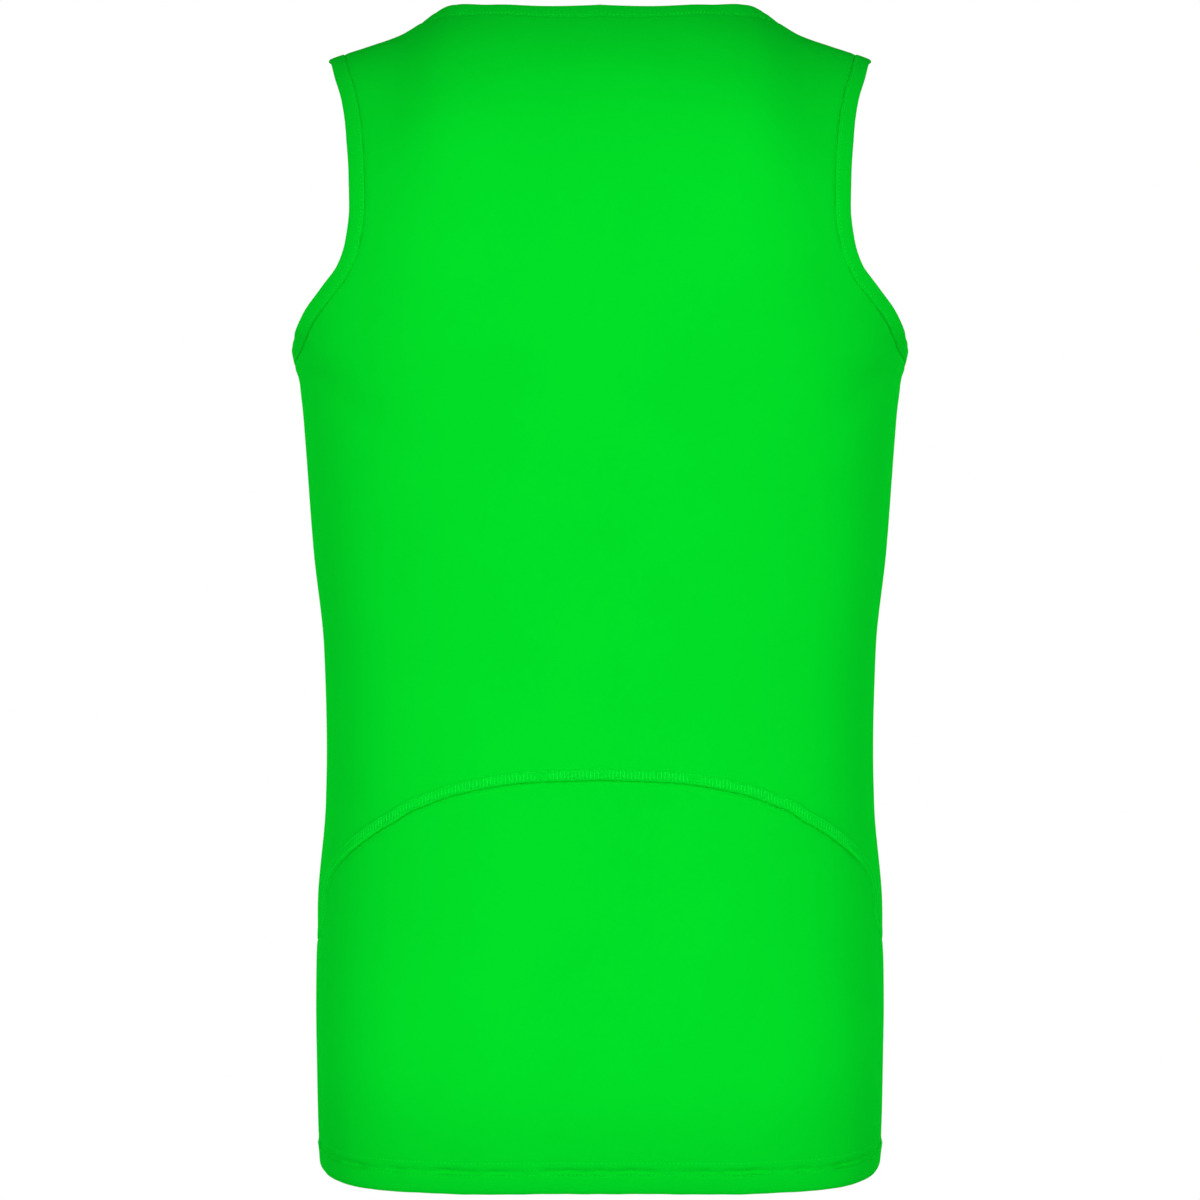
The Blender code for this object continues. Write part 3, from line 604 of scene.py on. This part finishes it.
def clothMaterial(name, look):
    # Relief: sin(2 pi u / wale) + share * sin(2 pi v / course), u and v the place on the cut
    made, tree, shader, tones = startMaterial(name, look)
    for socket, value in look["sheen"].items():
        shader.inputs[socket].default_value = value
    shader.inputs["Sheen Tint"].default_value = (*look["tint"], 1.0)
    noiseOver(tree, look["patches"], tones)
    cut = addNode(tree, "UVMap", {}, uv_map="cut")
    parts = addNode(tree, "SeparateXYZ", {})
    link(tree, cut.outputs["UV"], parts.inputs[0])
    waves = []
    for axis, pitch in (("X", look["wale"]), ("Y", look["course"])):
        turns = addNode(tree, "Math", {1: 2 * math.pi / pitch}, operation="MULTIPLY")
        link(tree, parts.outputs[axis], turns.inputs[0])
        waves.append(addNode(tree, "Math", {}, operation="SINE"))
        link(tree, turns.outputs[0], waves[-1].inputs[0])
    loops = addNode(tree, "Math", {1: look["courseShare"]}, operation="MULTIPLY_ADD")
    link(tree, waves[1].outputs[0], loops.inputs[0])
    link(tree, waves[0].outputs[0], loops.inputs[2])
    bump = addNode(tree, "Bump", look["relief"])
    link(tree, loops.outputs[0], bump.inputs["Height"])
    link(tree, bump.outputs["Normal"], shader.inputs["Normal"])
    # Painted shade: the base colour is scaled down towards the hem, for the light falling off where the cloth
    # curves under
    low, high = look["paintedShadeTop"]
    ends = {"From Min": low, "From Max": high, "To Min": look["hemPaintedShade"]}
    hemPaintedShade = addNode(tree, "MapRange", ends, interpolation_type="SMOOTHSTEP")
    link(tree, parts.outputs["Y"], hemPaintedShade.inputs["Value"])
    withPaintedShade = addNode(tree, "VectorMath", {}, operation="SCALE")
    link(tree, tones.outputs["Result"], withPaintedShade.inputs[0])
    link(tree, hemPaintedShade.outputs["Result"], withPaintedShade.inputs["Scale"])
    link(tree, withPaintedShade.outputs["Vector"], shader.inputs["Base Color"])
    return made


def threadMaterial(name, look):
    made, tree, shader, tones = startMaterial(name, look)
    noiseOver(tree, {"Scale": look["twistScale"]}, tones)
    link(tree, tones.outputs["Result"], shader.inputs["Base Color"])
    return made


knitFinish = clothMaterial("greenKnit", knit)
bindingFinish = clothMaterial("greenBinding", binding)
threadFinish = threadMaterial("greenThread", thread)
print("materials: knit, binding and thread")

# Every panel's wall, and how its edges sink where it is sewn to the next piece
panelWall = {
    "thickness": 0.00075,
    # How an edge sinks at a seam: how far, its reach, and the power that makes it a soft valley or a crack
    "dips": {
        "plain": (0.00060, 0.00052, 1.5), "armhole": (0.00050, 0.00050, 1.5),
        "neck": (0.00025, 0.00050, 1.5), "arch": (0.00170, 0.00062, 0.8),
    },
    # The layers turned in along a bound edge: how much thicker the wall is there, and their reach
    "boundLayers": {"neck": 0.0011, "armhole": 0.0007},
    "layersReach": 0.0026,
}

# The hem, turned up inside: its edge, which rises at the sides and sags beside the middle, and its fold
hem = {
    "edge": -0.6795, "sideRise": 0.0055, "riseTurn": 45.0, "sag": 0.0012, "sagTurns": (12.0, 28.0),
    "wave": 0.0005, "wavePitch": 0.013, "depth": 0.0215, "depthSoft": (-0.0002, 0.0005),
    "fold": 0.0018, "turnIn": 0.0013, "turnInUp": 0.0042,
    "roundest": 0.98,  # the share of the fold's quarter circle that the outer face follows
    "foldRows": (0.0, 0.06, 0.25, 0.6, 1.0),  # rows of cells, at shares of the fold's radius
    "rows": (
        0.0019, 0.0031, 0.0050, 0.0078, 0.0103, 0.0115, 0.0121, 0.0127, 0.0133, 0.0139, 0.0145, 0.0153,
        0.0163, 0.0177, 0.0189, 0.0195, 0.0201, 0.0211, 0.0219, 0.0229, 0.0250,
    ),
    "needleUps": (0.0121, 0.0195), "grooveDepth": 0.00012, "grooveWidth": 0.0006,
    "creaseUp": 0.0137, "creaseDepth": 0.0030, "creaseWidth": 0.0020, "creasePitch": 0.011,
    "samples": 700,
}

# The arched seam: the upper panel laps over the lower one, and the lap grows fainter towards the sides
archLap = {
    "depth": 0.0064, "lift": 0.00045, "soft": (-0.0006, 0.0010), "wallShare": 0.9,
    "ways": (0.0038, 0.0050, 0.0058, 0.0064, 0.0070, 0.0078, 0.0100),  # rows of cells, above the fine ones
    "turns": (58.0, 84.0), "fainter": 0.75, "samples": 600,
}


def hemLine(side, above, turns):
    # The hem's edge, or a line above it. It waves, sags a little beside the middle and rises towards the side
    # seams, the last two by 3 t^2 - 2 t^3.
    rise = hem["sideRise"] * smoothStep(math.radians(hem["riseTurn"]), quarter, turns)
    rise -= hem["sag"] * smoothStep(*np.radians(hem["sagTurns"]), turns)
    waving = unevenness(turns * creases["girthRadius"], hem["wavePitch"], side) - 0.5
    rise += hem["wave"] * waving * np.cos(turns)
    return np.stack([turns, hem["edge"] + rise + above - form["chestHeight"]], axis=-1)


def hemRows(side, count):
    # Rows of places from the hem's fold up to just above its turned-in edge
    turns = np.linspace(0.0, quarter, seams["samples"])
    bottom = hemLine(side, 0.0, turns)
    length = runLengths(side, bottom)[-1]
    turns = spacedBy(side, bottom, shares(length, count, atEnd=True))[:, 0]
    heights = np.array([*(share * hem["fold"] / 2 for share in hem["foldRows"]), *hem["rows"]])
    return np.stack([hemLine(side, above, turns) for above in heights]), heights


def hemWall(heights):
    # How far the outer face draws in at the fold, r - sqrt(r^2 - (r-h)^2), and the wall with the layer inside
    wall, radius = panelWall["thickness"], hem["fold"] / 2
    rest = np.clip(radius - heights, 0.0, radius * hem["roundest"])
    drawn = radius - np.sqrt(radius**2 - rest**2)
    drawn += hem["turnIn"] * np.clip(1 - heights / hem["turnInUp"], 0.0, 1.0) ** 2
    single = smoothStep(*(hem["depth"] + way for way in hem["depthSoft"]), heights)
    return -drawn, hem["fold"] - (hem["fold"] - wall) * single - drawn


def archShown(turns):
    # How much of the arched seam's relief there is at each turn, 1 at the back and less towards the sides
    return 1 - archLap["fainter"] * smoothStep(*np.radians(archLap["turns"]), turns)


def sewnDip(side, places, edges):
    # The greatest of dip * exp(-(d / reach)^power), d being the distance to each sewn edge
    points, found = plainCloth(side, places), []
    for kind, edge in edges:
        dip, reach, power = panelWall["dips"][kind]
        depth = dip * np.exp(-((distanceToLine(points, plainCloth(side, edge)) / reach) ** power))
        found.append(depth * archShown(places[..., 0]) if kind == "arch" else depth)
    return -np.max(found, axis=0)


def boundLayers(side, places, edges):
    # The greatest of thicker * exp(-(d / reach)^2), d being the distance to each bound edge
    points, found = plainCloth(side, places), [np.zeros(len(places))]
    for kind, edge in edges:
        if kind in panelWall["boundLayers"]:
            near = distanceToLine(points, plainCloth(side, edge)) / panelWall["layersReach"]
            found.append(panelWall["boundLayers"][kind] * np.exp(-(near**2)))
    return np.max(found, axis=0)


def panelPiece(name, side, places, quads, sewnEdges, outerShift, wall):
    # The wall between the worn cloth moved out by outerShift and the same moved in by the wall's thickness
    outerShift = outerShift + sewnDip(side, places, sewnEdges)
    wall = wall + boundLayers(side, places, sewnEdges)
    allPlaces, allQuads = bothSides(places, quads)
    points, normals = wornCloth(side, allPlaces)
    outerShift, wall = np.tile(outerShift, 2)[:, None], np.tile(wall, 2)[:, None]
    outer, inner = points + normals * outerShift, points + normals * (outerShift - wall)
    mesh, faces, used = wallMesh(outer, inner, allQuads)
    cutUv = (allPlaces * (creases["girthRadius"], 1.0))[used]
    return makePiece(name, mesh, faces, knitFinish, np.concatenate([cutUv, cutUv]))


def hemShift(side, places, heights, columns):
    # The fold, the needle lines' grooves and the broken crease between them, for a panel's hem rows
    above = np.repeat(heights, columns)
    drawn, wall = hemWall(above)
    around = places[: len(above), 0] * creases["girthRadius"]
    crease = hem["creaseDepth"] * unevenness(around, hem["creasePitch"], side)
    drawn -= crease * np.exp(-(((above - hem["creaseUp"]) / hem["creaseWidth"]) ** 2))
    for up in hem["needleUps"]:
        drawn -= hem["grooveDepth"] * np.exp(-(((above - up) / hem["grooveWidth"]) ** 2))
    return drawn, wall


def hemmedWall(side, places, heights, columns):
    # How far out a panel's outer face lies and how thick the wall is, plain above the hem
    outerShift, wall = np.zeros(len(places)), np.full(len(places), panelWall["thickness"])
    inHem = len(heights) * columns
    outerShift[:inHem], wall[:inHem] = hemShift(side, places, heights, columns)
    return outerShift, wall


def sewnOpenings(bodyTop, strap):
    neckEdge = np.concatenate([bodyTop[: cells["neck"] + 1], strap[1:, 0]])
    armholeEdge = np.concatenate([bodyTop[::-1][: cells["armhole"] + 1], strap[1:, -1]])
    return [("neck", neckEdge), ("armhole", armholeEdge)]


def frontPanelPiece():
    bodyTop, strap = topEdges(front)
    low, heights = hemRows(front, len(bodyTop) - 1)
    rows = panelRows(low, bodyTop, "frontBody")
    places, quads = bodyAndStrap(rows, strap)
    edges = [("plain", rows[:, -1]), ("plain", strap[-1]), *sewnOpenings(bodyTop, strap)]
    wall = hemmedWall(front, places, heights, rows.shape[1])
    return panelPiece("frontPanel", front, places, quads, edges, *wall)


def upperBackPiece():
    bodyTop, strap = topEdges(back)
    seam = archSeam(len(bodyTop) - 1)
    ways = np.array([0.0, *seams["fineSteps"], *archLap["ways"]])
    low = np.stack([shiftedSeam(back, seam, way) if way else seam for way in ways])
    rows = panelRows(low, bodyTop, "upperBackBody")
    places, quads = bodyAndStrap(rows, strap)
    outerShift, wall = np.zeros(len(places)), np.full(len(places), panelWall["thickness"])
    above = smoothStep(*(archLap["depth"] + way for way in archLap["soft"]), np.repeat(ways, rows.shape[1]))
    raised = archLap["lift"] * (1 - above) * archShown(low.reshape(-1, 2)[:, 0])
    outerShift[: len(raised)] = raised
    wall[: len(raised)] += raised * archLap["wallShare"]
    edges = [("plain", rows[:, -1]), ("plain", strap[-1]), ("arch", rows[0]), *sewnOpenings(bodyTop, strap)]
    return panelPiece("backPanelUpper", back, places, quads, edges, outerShift, wall)


def lowerBackPiece():
    count = cells["neck"] + cells["strap"] + cells["armhole"]
    low, heights = hemRows(back, count)
    rows = panelRows(low, archSeam(count), "lowerBackBody")
    places, quads = rows.reshape(-1, 2), gridCells(rows.shape[:2])
    edges = [("plain", rows[:, -1]), ("arch", rows[-1])]
    wall = hemmedWall(back, places, heights, rows.shape[1])
    return panelPiece("backPanelLower", back, places, quads, edges, *wall)


frontPanel = frontPanelPiece()
print("front panel:", len(frontPanel.data.polygons), "faces")
upperBack = upperBackPiece()
print("upper back panel:", len(upperBack.data.polygons), "faces")
lowerBack = lowerBackPiece()
print("lower back panel:", len(lowerBack.data.polygons), "faces")

# The bindings: a folded strip of the same knit round the neck and each armhole
band = {
    "station": 0.00040,  # the distance between cross-sections
    "stitchAt": 0.0019,
    "stitchPitch": 0.0024,
    "neckSink": 0.0007,  # how far under the cloth's edge it starts at the neck
    "pucker": 0.00010,
    "puckerReach": 0.0009,
    "puckerAbove": -0.001,  # it is on the outer face alone, which lies above this in the cross-section
    # Distances beyond the seam and out from the cloth, in mm, round the cross-section
    "profile": (
        (0.00, -0.80), (0.10, -0.48), (0.30, -0.14), (0.60, 0.10), (1.10, 0.26), (1.60, 0.25), (1.90, 0.17),
        (2.20, 0.24), (2.80, 0.34), (4.60, 0.40), (6.60, 0.40), (8.60, 0.36), (9.40, 0.24), (9.80, 0.02),
        (9.95, -0.20), (10.00, -0.42), (9.95, -0.64), (9.80, -0.86), (9.40, -1.08), (7.00, -1.20),
        (4.50, -1.24), (2.20, -1.22), (0.90, -1.26), (0.00, -1.36), (-1.20, -1.46), (-2.20, -1.50),
        (-2.20, -1.08), (-1.20, -0.98),  # the last four lie under the cloth
    ),
    # How it stands along each opening, from the underarm or from the middle of the back neck
    "standColumns": ("along", "tilt", "width"),
    "armholeStand": (
        (0.000, 6.0, 1.00), (0.004, 6.0, 1.00), (0.018, 3.0, 1.00), (0.034, 13.0, 1.00), (0.048, 21.0, 1.00),
        (0.060, 17.0, 1.00), (0.080, 6.0, 1.00), (0.105, 2.0, 1.02), (0.130, 0.0, 1.10), (0.190, 0.0, 1.12),
        (0.225, 0.0, 1.02), (0.255, 0.0, 0.975), (0.280, 0.0, 0.985), (0.600, 0.0, 0.985),
    ),
    "neckStand": (
        (0.000, 7.5, 1.03), (0.012, 7.2, 1.03), (0.040, 5.0, 1.01), (0.070, 6.0, 1.00), (0.094, 17.0, 1.04),
        (0.118, 10.0, 1.00), (0.150, 2.0, 1.00), (0.190, 0.0, 1.00), (0.600, 0.0, 1.00),
    ),
}


def stations(side, seam, half):
    # Points and normals along one panel's edge, on the worn cloth
    count = int(runLengths(side, seam)[-1] / band["station"])
    return wornCloth(side, spacedBy(side, seam, np.linspace(0.0, 1.0, count + 1)) * (half, 1))


def joinedRuns(*runs):
    # Runs of points and normals end to end in a closed loop; where two meet, their ends are made one
    loop = []
    for kind in (0, 1):
        ends = [(before[kind][-1] + after[kind][0]) / 2 for before, after in zip(runs, runs[1:] + runs[:1])]
        parts = [np.concatenate([run[kind][1:-1], end[None]]) for run, end in zip(runs, ends)]
        loop.append(np.concatenate(parts))
    return loop[0], loop[1] / np.linalg.norm(loop[1], axis=-1, keepdims=True)


def turnedRound(run):
    return run[0][::-1], run[1][::-1]


def armholePath(half):
    return joinedRuns(
        stations(back, armholeSeam(back), half), turnedRound(stations(front, armholeSeam(front), half))
    )


def neckPath():
    left = [stations(side, neckSeam(side), 1) for side in (back, front)]
    right = [stations(side, neckSeam(side), -1) for side in (back, front)]
    return joinedRuns(left[0], turnedRound(left[1]), right[1], turnedRound(right[0]))


def pathFrames(points, normals, towards):
    # The direction beyond the seam is the cross product of normal and run, turned towards a given point
    runs = np.roll(points, -1, axis=0) - np.roll(points, 1, axis=0)
    beyond = np.cross(normals, runs)
    beyond *= np.sign(np.sum(beyond * (towards - points)))
    return beyond / np.linalg.norm(beyond, axis=-1, keepdims=True)


def loopLengths(points):
    return lengthsAlong(np.concatenate([points, points[:1]]))


def tilted(points, normals, beyond, stand):
    # Beyond and normal turned about the run by the stand's tilt t: (b cos t + n sin t, n cos t - b sin t)
    run = loopLengths(points)
    along = np.minimum(run[:-1], run[-1] - run[:-1])
    names = band["standColumns"]
    places, tilts, widths = (tableColumn(stand, names, name) for name in names)
    tilt, width = smoothBetween(places, tilts, along), smoothBetween(places, widths, along)
    level, upright = np.cos(np.radians(tilt))[:, None], np.sin(np.radians(tilt))[:, None]
    return points, normals * level - beyond * upright, (beyond * level + normals * upright) * width[:, None]


def bandPiece(name, points, normals, beyond):
    # The profile carried along the path, with a small pucker at each stitch
    profile = np.array(band["profile"]) / 1000
    run, total = loopLengths(points)[:-1], loopLengths(points)[-1]
    phase = run / total * round(total / band["stitchPitch"]) * 2 * np.pi
    apart = (profile[:, 0] - band["stitchAt"]) / band["puckerReach"]
    nearStitch = np.exp(-(apart**2)) * (profile[:, 1] > band["puckerAbove"])
    out = profile[None, :, 1] + band["pucker"] * np.cos(phase)[:, None] * nearStitch[None]
    rings = points[:, None] + beyond[:, None] * profile[None, :, :1] + normals[:, None] * out[..., None]
    stationsCount, corners = rings.shape[:2]
    numbers = np.arange(stationsCount * corners).reshape(stationsCount, corners)
    after, beside = np.roll(numbers, -1, axis=0), np.roll(numbers, -1, axis=1)
    quads = np.stack([numbers, after, np.roll(after, -1, axis=1), beside], axis=-1).reshape(-1, 4)
    cutUv = np.stack(np.broadcast_arrays(run[:, None], lengthsAlong(profile)[None]), axis=-1).reshape(-1, 2)
    return makePiece(name, rings.reshape(-1, 3), quads, bindingFinish, cutUv)


paths = {}
for name, half in (("armholeBandLeft", 1), ("armholeBandRight", -1)):
    points, normals = armholePath(half)
    beyond = pathFrames(points, normals, points.mean(axis=0))
    paths[name] = tilted(points, normals, beyond, band["armholeStand"])
points, normals = neckPath()
neckMiddle = np.array([0.0, 0.0, float(shoulderAt("height", 0.0))])
beyond = pathFrames(points, normals, neckMiddle)
paths["neckBand"] = tilted(points - normals * band["neckSink"], normals, beyond, band["neckStand"])
bands = {name: bandPiece(name, *path) for name, path in paths.items()}
print("bands:", {name: len(piece.data.polygons) for name, piece in bands.items()})


def threadTubes(runs, ups, radius, flatness=1.0, sides=6):
    # Tubes round many short runs at once, p + r sqrt(1.02 - t^8) (a cos v + f b sin v): a and b are square to
    # each run, f is the flatness, and t goes from -1 to 1 along it
    along = np.gradient(runs, axis=1)
    along /= np.linalg.norm(along, axis=-1, keepdims=True)
    sideways = np.cross(along, ups)
    sideways /= np.linalg.norm(sideways, axis=-1, keepdims=True)
    upright = np.cross(sideways, along)
    thick = radius * np.sqrt(1.02 - np.linspace(-1.0, 1.0, runs.shape[1]) ** 8)
    turn = (np.arange(sides) * 2 * np.pi / sides)[:, None]
    ring = sideways[:, :, None] * np.cos(turn) + upright[:, :, None] * flatness * np.sin(turn)
    points = runs[:, :, None] + ring * thick[None, :, None, None]
    tubes, steps = runs.shape[:2]
    numbers = np.arange(tubes * steps * sides).reshape(tubes, steps, sides)
    beside = np.roll(numbers, -1, axis=2)
    quads = np.stack([numbers[:, :-1], beside[:, :-1], beside[:, 1:], numbers[:, 1:]], axis=-1).reshape(-1, 4)
    caps = [*numbers[:, 0, ::-1].tolist(), *numbers[:, -1].tolist()]
    return points.reshape(-1, 3), [*quads.tolist(), *caps]


def sewnPiece(name, lines):
    # One piece of many tubes: each line gives its runs, its ways up, its radius and maybe its flatness
    pointRows, faceRows, offset = [], [], 0
    for line in lines:
        points, faces = threadTubes(*line)
        pointRows.append(points)
        faceRows += [[corner + offset for corner in face] for face in faces]
        offset += len(points)
    return makePiece(name, np.concatenate(pointRows), faceRows, threadFinish)


def atLengths(path, at):
    # A closed path's points, normals and beyond directions at given lengths along it
    run = loopLengths(path[0])
    return [valuesAt(at % run[-1], run, np.concatenate([values, values[:1]])) for values in path]


def runningStitches(path, stitch):
    # Short runs along a closed path, out from it by base + rise cos(pi t) - sunk
    total = loopLengths(path[0])[-1]
    count = round(total / stitch["pitch"])
    t = np.linspace(-0.5, 0.5, stitch["samples"])
    at = (np.arange(count)[:, None] + stitch["length"] * t[None] + 0.5) * total / count
    points, normals, beyond = atLengths(path, at)
    out = stitch["base"] + stitch["rise"] * np.cos(np.pi * t) - stitch["sunk"]
    return points + beyond * stitch["beyond"] + normals * out[None, :, None], normals, stitch["radius"]


# The line of stitches beside each binding's seam
edgeStitch = {
    "pitch": band["stitchPitch"], "beyond": band["stitchAt"], "base": 0.00024,
    "length": 0.66, "samples": 6, "radius": 0.00017, "rise": 0.00022, "sunk": 0.00024,
}
stitches = [sewnPiece(name + "Stitches", [runningStitches(path, edgeStitch)]) for name, path in paths.items()]
print("edge stitches:", len(stitches), "lines")

# The flat-lock stitch over the arched seam: two needle lines with threads crossing between them
archStitch = {
    "ways": (0.0014, 0.0024, 0.0036, 0.0048, 0.0058),
    "bow": (0.2, 1.0, 1.2, 1.0, 0.2),
    "pitch": 0.00215,
    "radius": 0.00036,
    "flatness": 0.50,
    "rise": 0.00014,
    "sunk": 0.00044,  # how deep the slackest of them lie
    "sunkPitch": 0.0105,
    "sideSunk": 0.0007,  # how much deeper they lie where the seam is faint
    "slant": 0.0005,
    "needleRadius": 0.00022,
    "needleLength": 0.80,
    "needleSamples": 5,
    "needleBow": (0.4, 1.4),  # at its ends, and how much more in its middle
}


def archCurves(half, ways):
    # Worn points and normals along the seam's left or right half, at each way above it
    dense = archSeam(archLap["samples"])
    found = [wornCloth(back, shiftedSeam(back, dense, way) * (half, 1)) for way in ways]
    return np.stack([points for points, _ in found]), np.stack([normals for _, normals in found])


def alongCurve(curve, values, at):
    # A curve's values at given shares of its length
    run = lengthsAlong(curve)
    return valuesAt(at * run[-1], run, values)


def needleLines(curves, normals, count, lift):
    t = np.linspace(-0.5, 0.5, archStitch["needleSamples"])
    at = (np.arange(count)[:, None] + 0.5 + archStitch["needleLength"] * t[None]) / count
    ends, middle = archStitch["needleBow"]
    out = lift[:, None] + archStitch["rise"] * (ends + middle * np.cos(np.pi * t))[None]
    lines = []
    for curve, normal in ((curves[0], normals[0]), (curves[-1], normals[-1])):
        up = alongCurve(curve, normal, at)
        lines.append((alongCurve(curve, curve, at) + up * out[..., None], up, archStitch["needleRadius"]))
    return lines


def archStitches():
    lines = []
    turns = archSeam(archLap["samples"])[:, 0]
    for half in (1, -1):
        curves, normals = archCurves(half, archStitch["ways"])
        length = np.linalg.norm(np.diff(curves[0], axis=0), axis=1).sum()
        count = round(length / archStitch["pitch"])
        middles = (np.arange(count) + 0.5) / count
        lean = np.linspace(-0.5, 0.5, len(curves)) * archStitch["slant"] / length
        strokes = [alongCurve(curve, curve, middles + shift) for curve, shift in zip(curves, lean)]
        ups = [alongCurve(*line, middles + shift) for *line, shift in zip(curves, normals, lean)]
        strokes, ups = np.stack(strokes, axis=1), np.stack(ups, axis=1)
        slack = archStitch["sunk"] * (1 - unevenness(middles * length, archStitch["sunkPitch"], half))
        shown = archShown(np.interp(middles, np.linspace(0.0, 1.0, len(turns)), turns))
        lift = archLap["lift"] * shown - archStitch["sideSunk"] * (1 - shown)
        out = (lift - slack)[:, None] + archStitch["rise"] * np.array(archStitch["bow"])[None]
        lines.append((strokes + ups * out[..., None], ups, archStitch["radius"], archStitch["flatness"]))
        lines += needleLines(curves, normals, count, lift)
    return sewnPiece("archStitches", lines)


stitches.append(archStitches())
print("arch stitches:", len(stitches[-1].data.polygons), "faces")

# The hem's two needle lines, all round
hemStitch = {
    "pitch": 0.0026, "beyond": 0.0, "base": 0.0,
    "length": 0.72, "samples": 5, "radius": 0.00014, "rise": 0.00015, "sunk": 0.00024,
}


def hemLoop(above):
    # A closed path round the hem, at a height above its edge
    runs = []
    turns = np.linspace(0.0, quarter, hem["samples"])
    for side, half in ((back, 1), (front, 1), (front, -1), (back, -1)):
        run = wornCloth(side, hemLine(side, above, turns) * (half, 1))
        runs.append(run if (side, half) in ((back, 1), (front, -1)) else turnedRound(run))
    points, normals = joinedRuns(*runs)
    return points, normals, normals


needleRuns = [runningStitches(hemLoop(above), hemStitch) for above in hem["needleUps"]]
stitches.append(sewnPiece("hemStitches", needleRuns))
print("hem stitches:", len(stitches[-1].data.polygons), "faces")

# Each piece's solid in model.glb is hidden; the cloth that it was cut from, in metres, and its stitches are
# listed beside it but not used
edgeLines, archLines, hemLines = stitches[:3], stitches[3], stitches[4]
for piece, node, width, length, area, sewn in (
    (frontPanel, "front_panel", 0.520, 0.760, 0.300, []),
    (upperBack, "back_panel_upper", 0.520, 0.620, 0.220, [archLines]),
    (lowerBack, "back_panel_lower", 0.500, 0.260, 0.110, [hemLines]),
):
    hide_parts(node)
for name, node, length, sewn in (
    ("armholeBandLeft", "armhole_band_left", 0.56, edgeLines[0]),
    ("armholeBandRight", "armhole_band_right", 0.56, edgeLines[1]),
    ("neckBand", "neck_band", 0.70, edgeLines[2]),
):
    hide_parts(node)

# A plain pale floor, soft lamps with narrow beams, and the photo's viewpoint
studio = {
    "floorHeight": -1.42,
    "floorHalf": 3.0,
    "floorTone": (0.93, 0.93, 0.93),
    "floorRoughness": 0.9,
    "floorLift": 0.68,  # how much paler the camera sees it than the light on it makes it
    "cameraPlace": (0.0, 2.1, -0.3365),
    "lens": 104.1,
    "sensor": 36.0,
    "ambient": 0.29,
    "lampColumns": ("round", "away", "height", "width", "tall", "power", "spread"),
    "lamps": (
        (40.0, 2.6, -0.3575, 1.2, 0.815, 1.45, 8.8),
        (-40.0, 2.6, -0.3575, 1.2, 0.815, 1.45, 8.8),
        (155.0, 2.6, -0.3575, 1.2, 0.815, 1.22, 8.8),
        (-155.0, 2.6, -0.3575, 1.2, 0.815, 1.22, 8.8),
    ),
}


def addFloor():
    half, height = studio["floorHalf"], studio["floorHeight"]
    mesh = bpy.data.meshes.new("floor")
    corners = [(-half, -half, height), (half, -half, height), (half, half, height), (-half, half, height)]
    mesh.from_pydata(corners, [], [(0, 1, 2, 3)])
    floor = bpy.data.objects.new("floor", mesh)
    bpy.context.scene.collection.objects.link(floor)
    made = bpy.data.materials.new("paleFloor")
    made.use_nodes = True
    shader = made.node_tree.nodes["Principled BSDF"]
    shader.inputs["Base Color"].default_value = (*studio["floorTone"], 1.0)
    shader.inputs["Roughness"].default_value = studio["floorRoughness"]
    shader.inputs["Emission Color"].default_value = (1.0, 1.0, 1.0, 1.0)
    tree = made.node_tree
    seen, lifted = tree.nodes.new("ShaderNodeLightPath"), tree.nodes.new("ShaderNodeMath")
    lifted.operation = "MULTIPLY"
    lifted.inputs[1].default_value = studio["floorLift"]
    link(tree, seen.outputs["Is Camera Ray"], lifted.inputs[0])
    link(tree, lifted.outputs[0], shader.inputs["Emission Strength"])
    mesh.materials.append(made)


def addSoftbox(name, light):
    # It stands round from the back's middle, level, and faces the part
    data = bpy.data.lights.new(name, "AREA")
    data.shape = "RECTANGLE"
    data.size, data.size_y = light["width"], light["tall"]
    data.energy = light["power"]
    data.spread = math.radians(light["spread"])
    lamp = bpy.data.objects.new(name, data)
    turn = math.radians(light["round"])
    lamp.location = (light["away"] * math.sin(turn), light["away"] * math.cos(turn), light["height"])
    lamp.rotation_euler = (quarter, 0.0, math.pi - turn)
    bpy.context.scene.collection.objects.link(lamp)


def addCamera():
    data = bpy.data.cameras.new("camera")
    data.lens = studio["lens"]
    data.sensor_width = studio["sensor"]
    camera = bpy.data.objects.new("camera", data)
    camera.location = studio["cameraPlace"]
    camera.rotation_euler = (quarter, 0.0, math.pi)
    bpy.context.scene.collection.objects.link(camera)
    bpy.context.scene.camera = camera


def addWorld():
    # White behind the part, and the same white, softer, as the light from all round
    world = bpy.data.worlds.new("studio")
    bpy.context.scene.world = world
    world.use_nodes = True
    tree = world.node_tree
    backdrop = tree.nodes["Background"]
    backdrop.inputs["Color"].default_value = (1.0, 1.0, 1.0, 1.0)
    seen = tree.nodes.new("ShaderNodeLightPath")
    strength = tree.nodes.new("ShaderNodeMapRange")
    strength.inputs["To Min"].default_value = studio["ambient"]
    strength.inputs["To Max"].default_value = 1.0
    link(tree, seen.outputs["Is Camera Ray"], strength.inputs["Value"])
    link(tree, strength.outputs["Result"], backdrop.inputs["Strength"])


addFloor()
for count, row in enumerate(studio["lamps"]):
    addSoftbox("softbox" + str(count), dict(zip(studio["lampColumns"], row)))
addCamera()
addWorld()
bpy.context.scene.view_settings.view_transform = "Standard"
print("studio: floor, lights and camera")
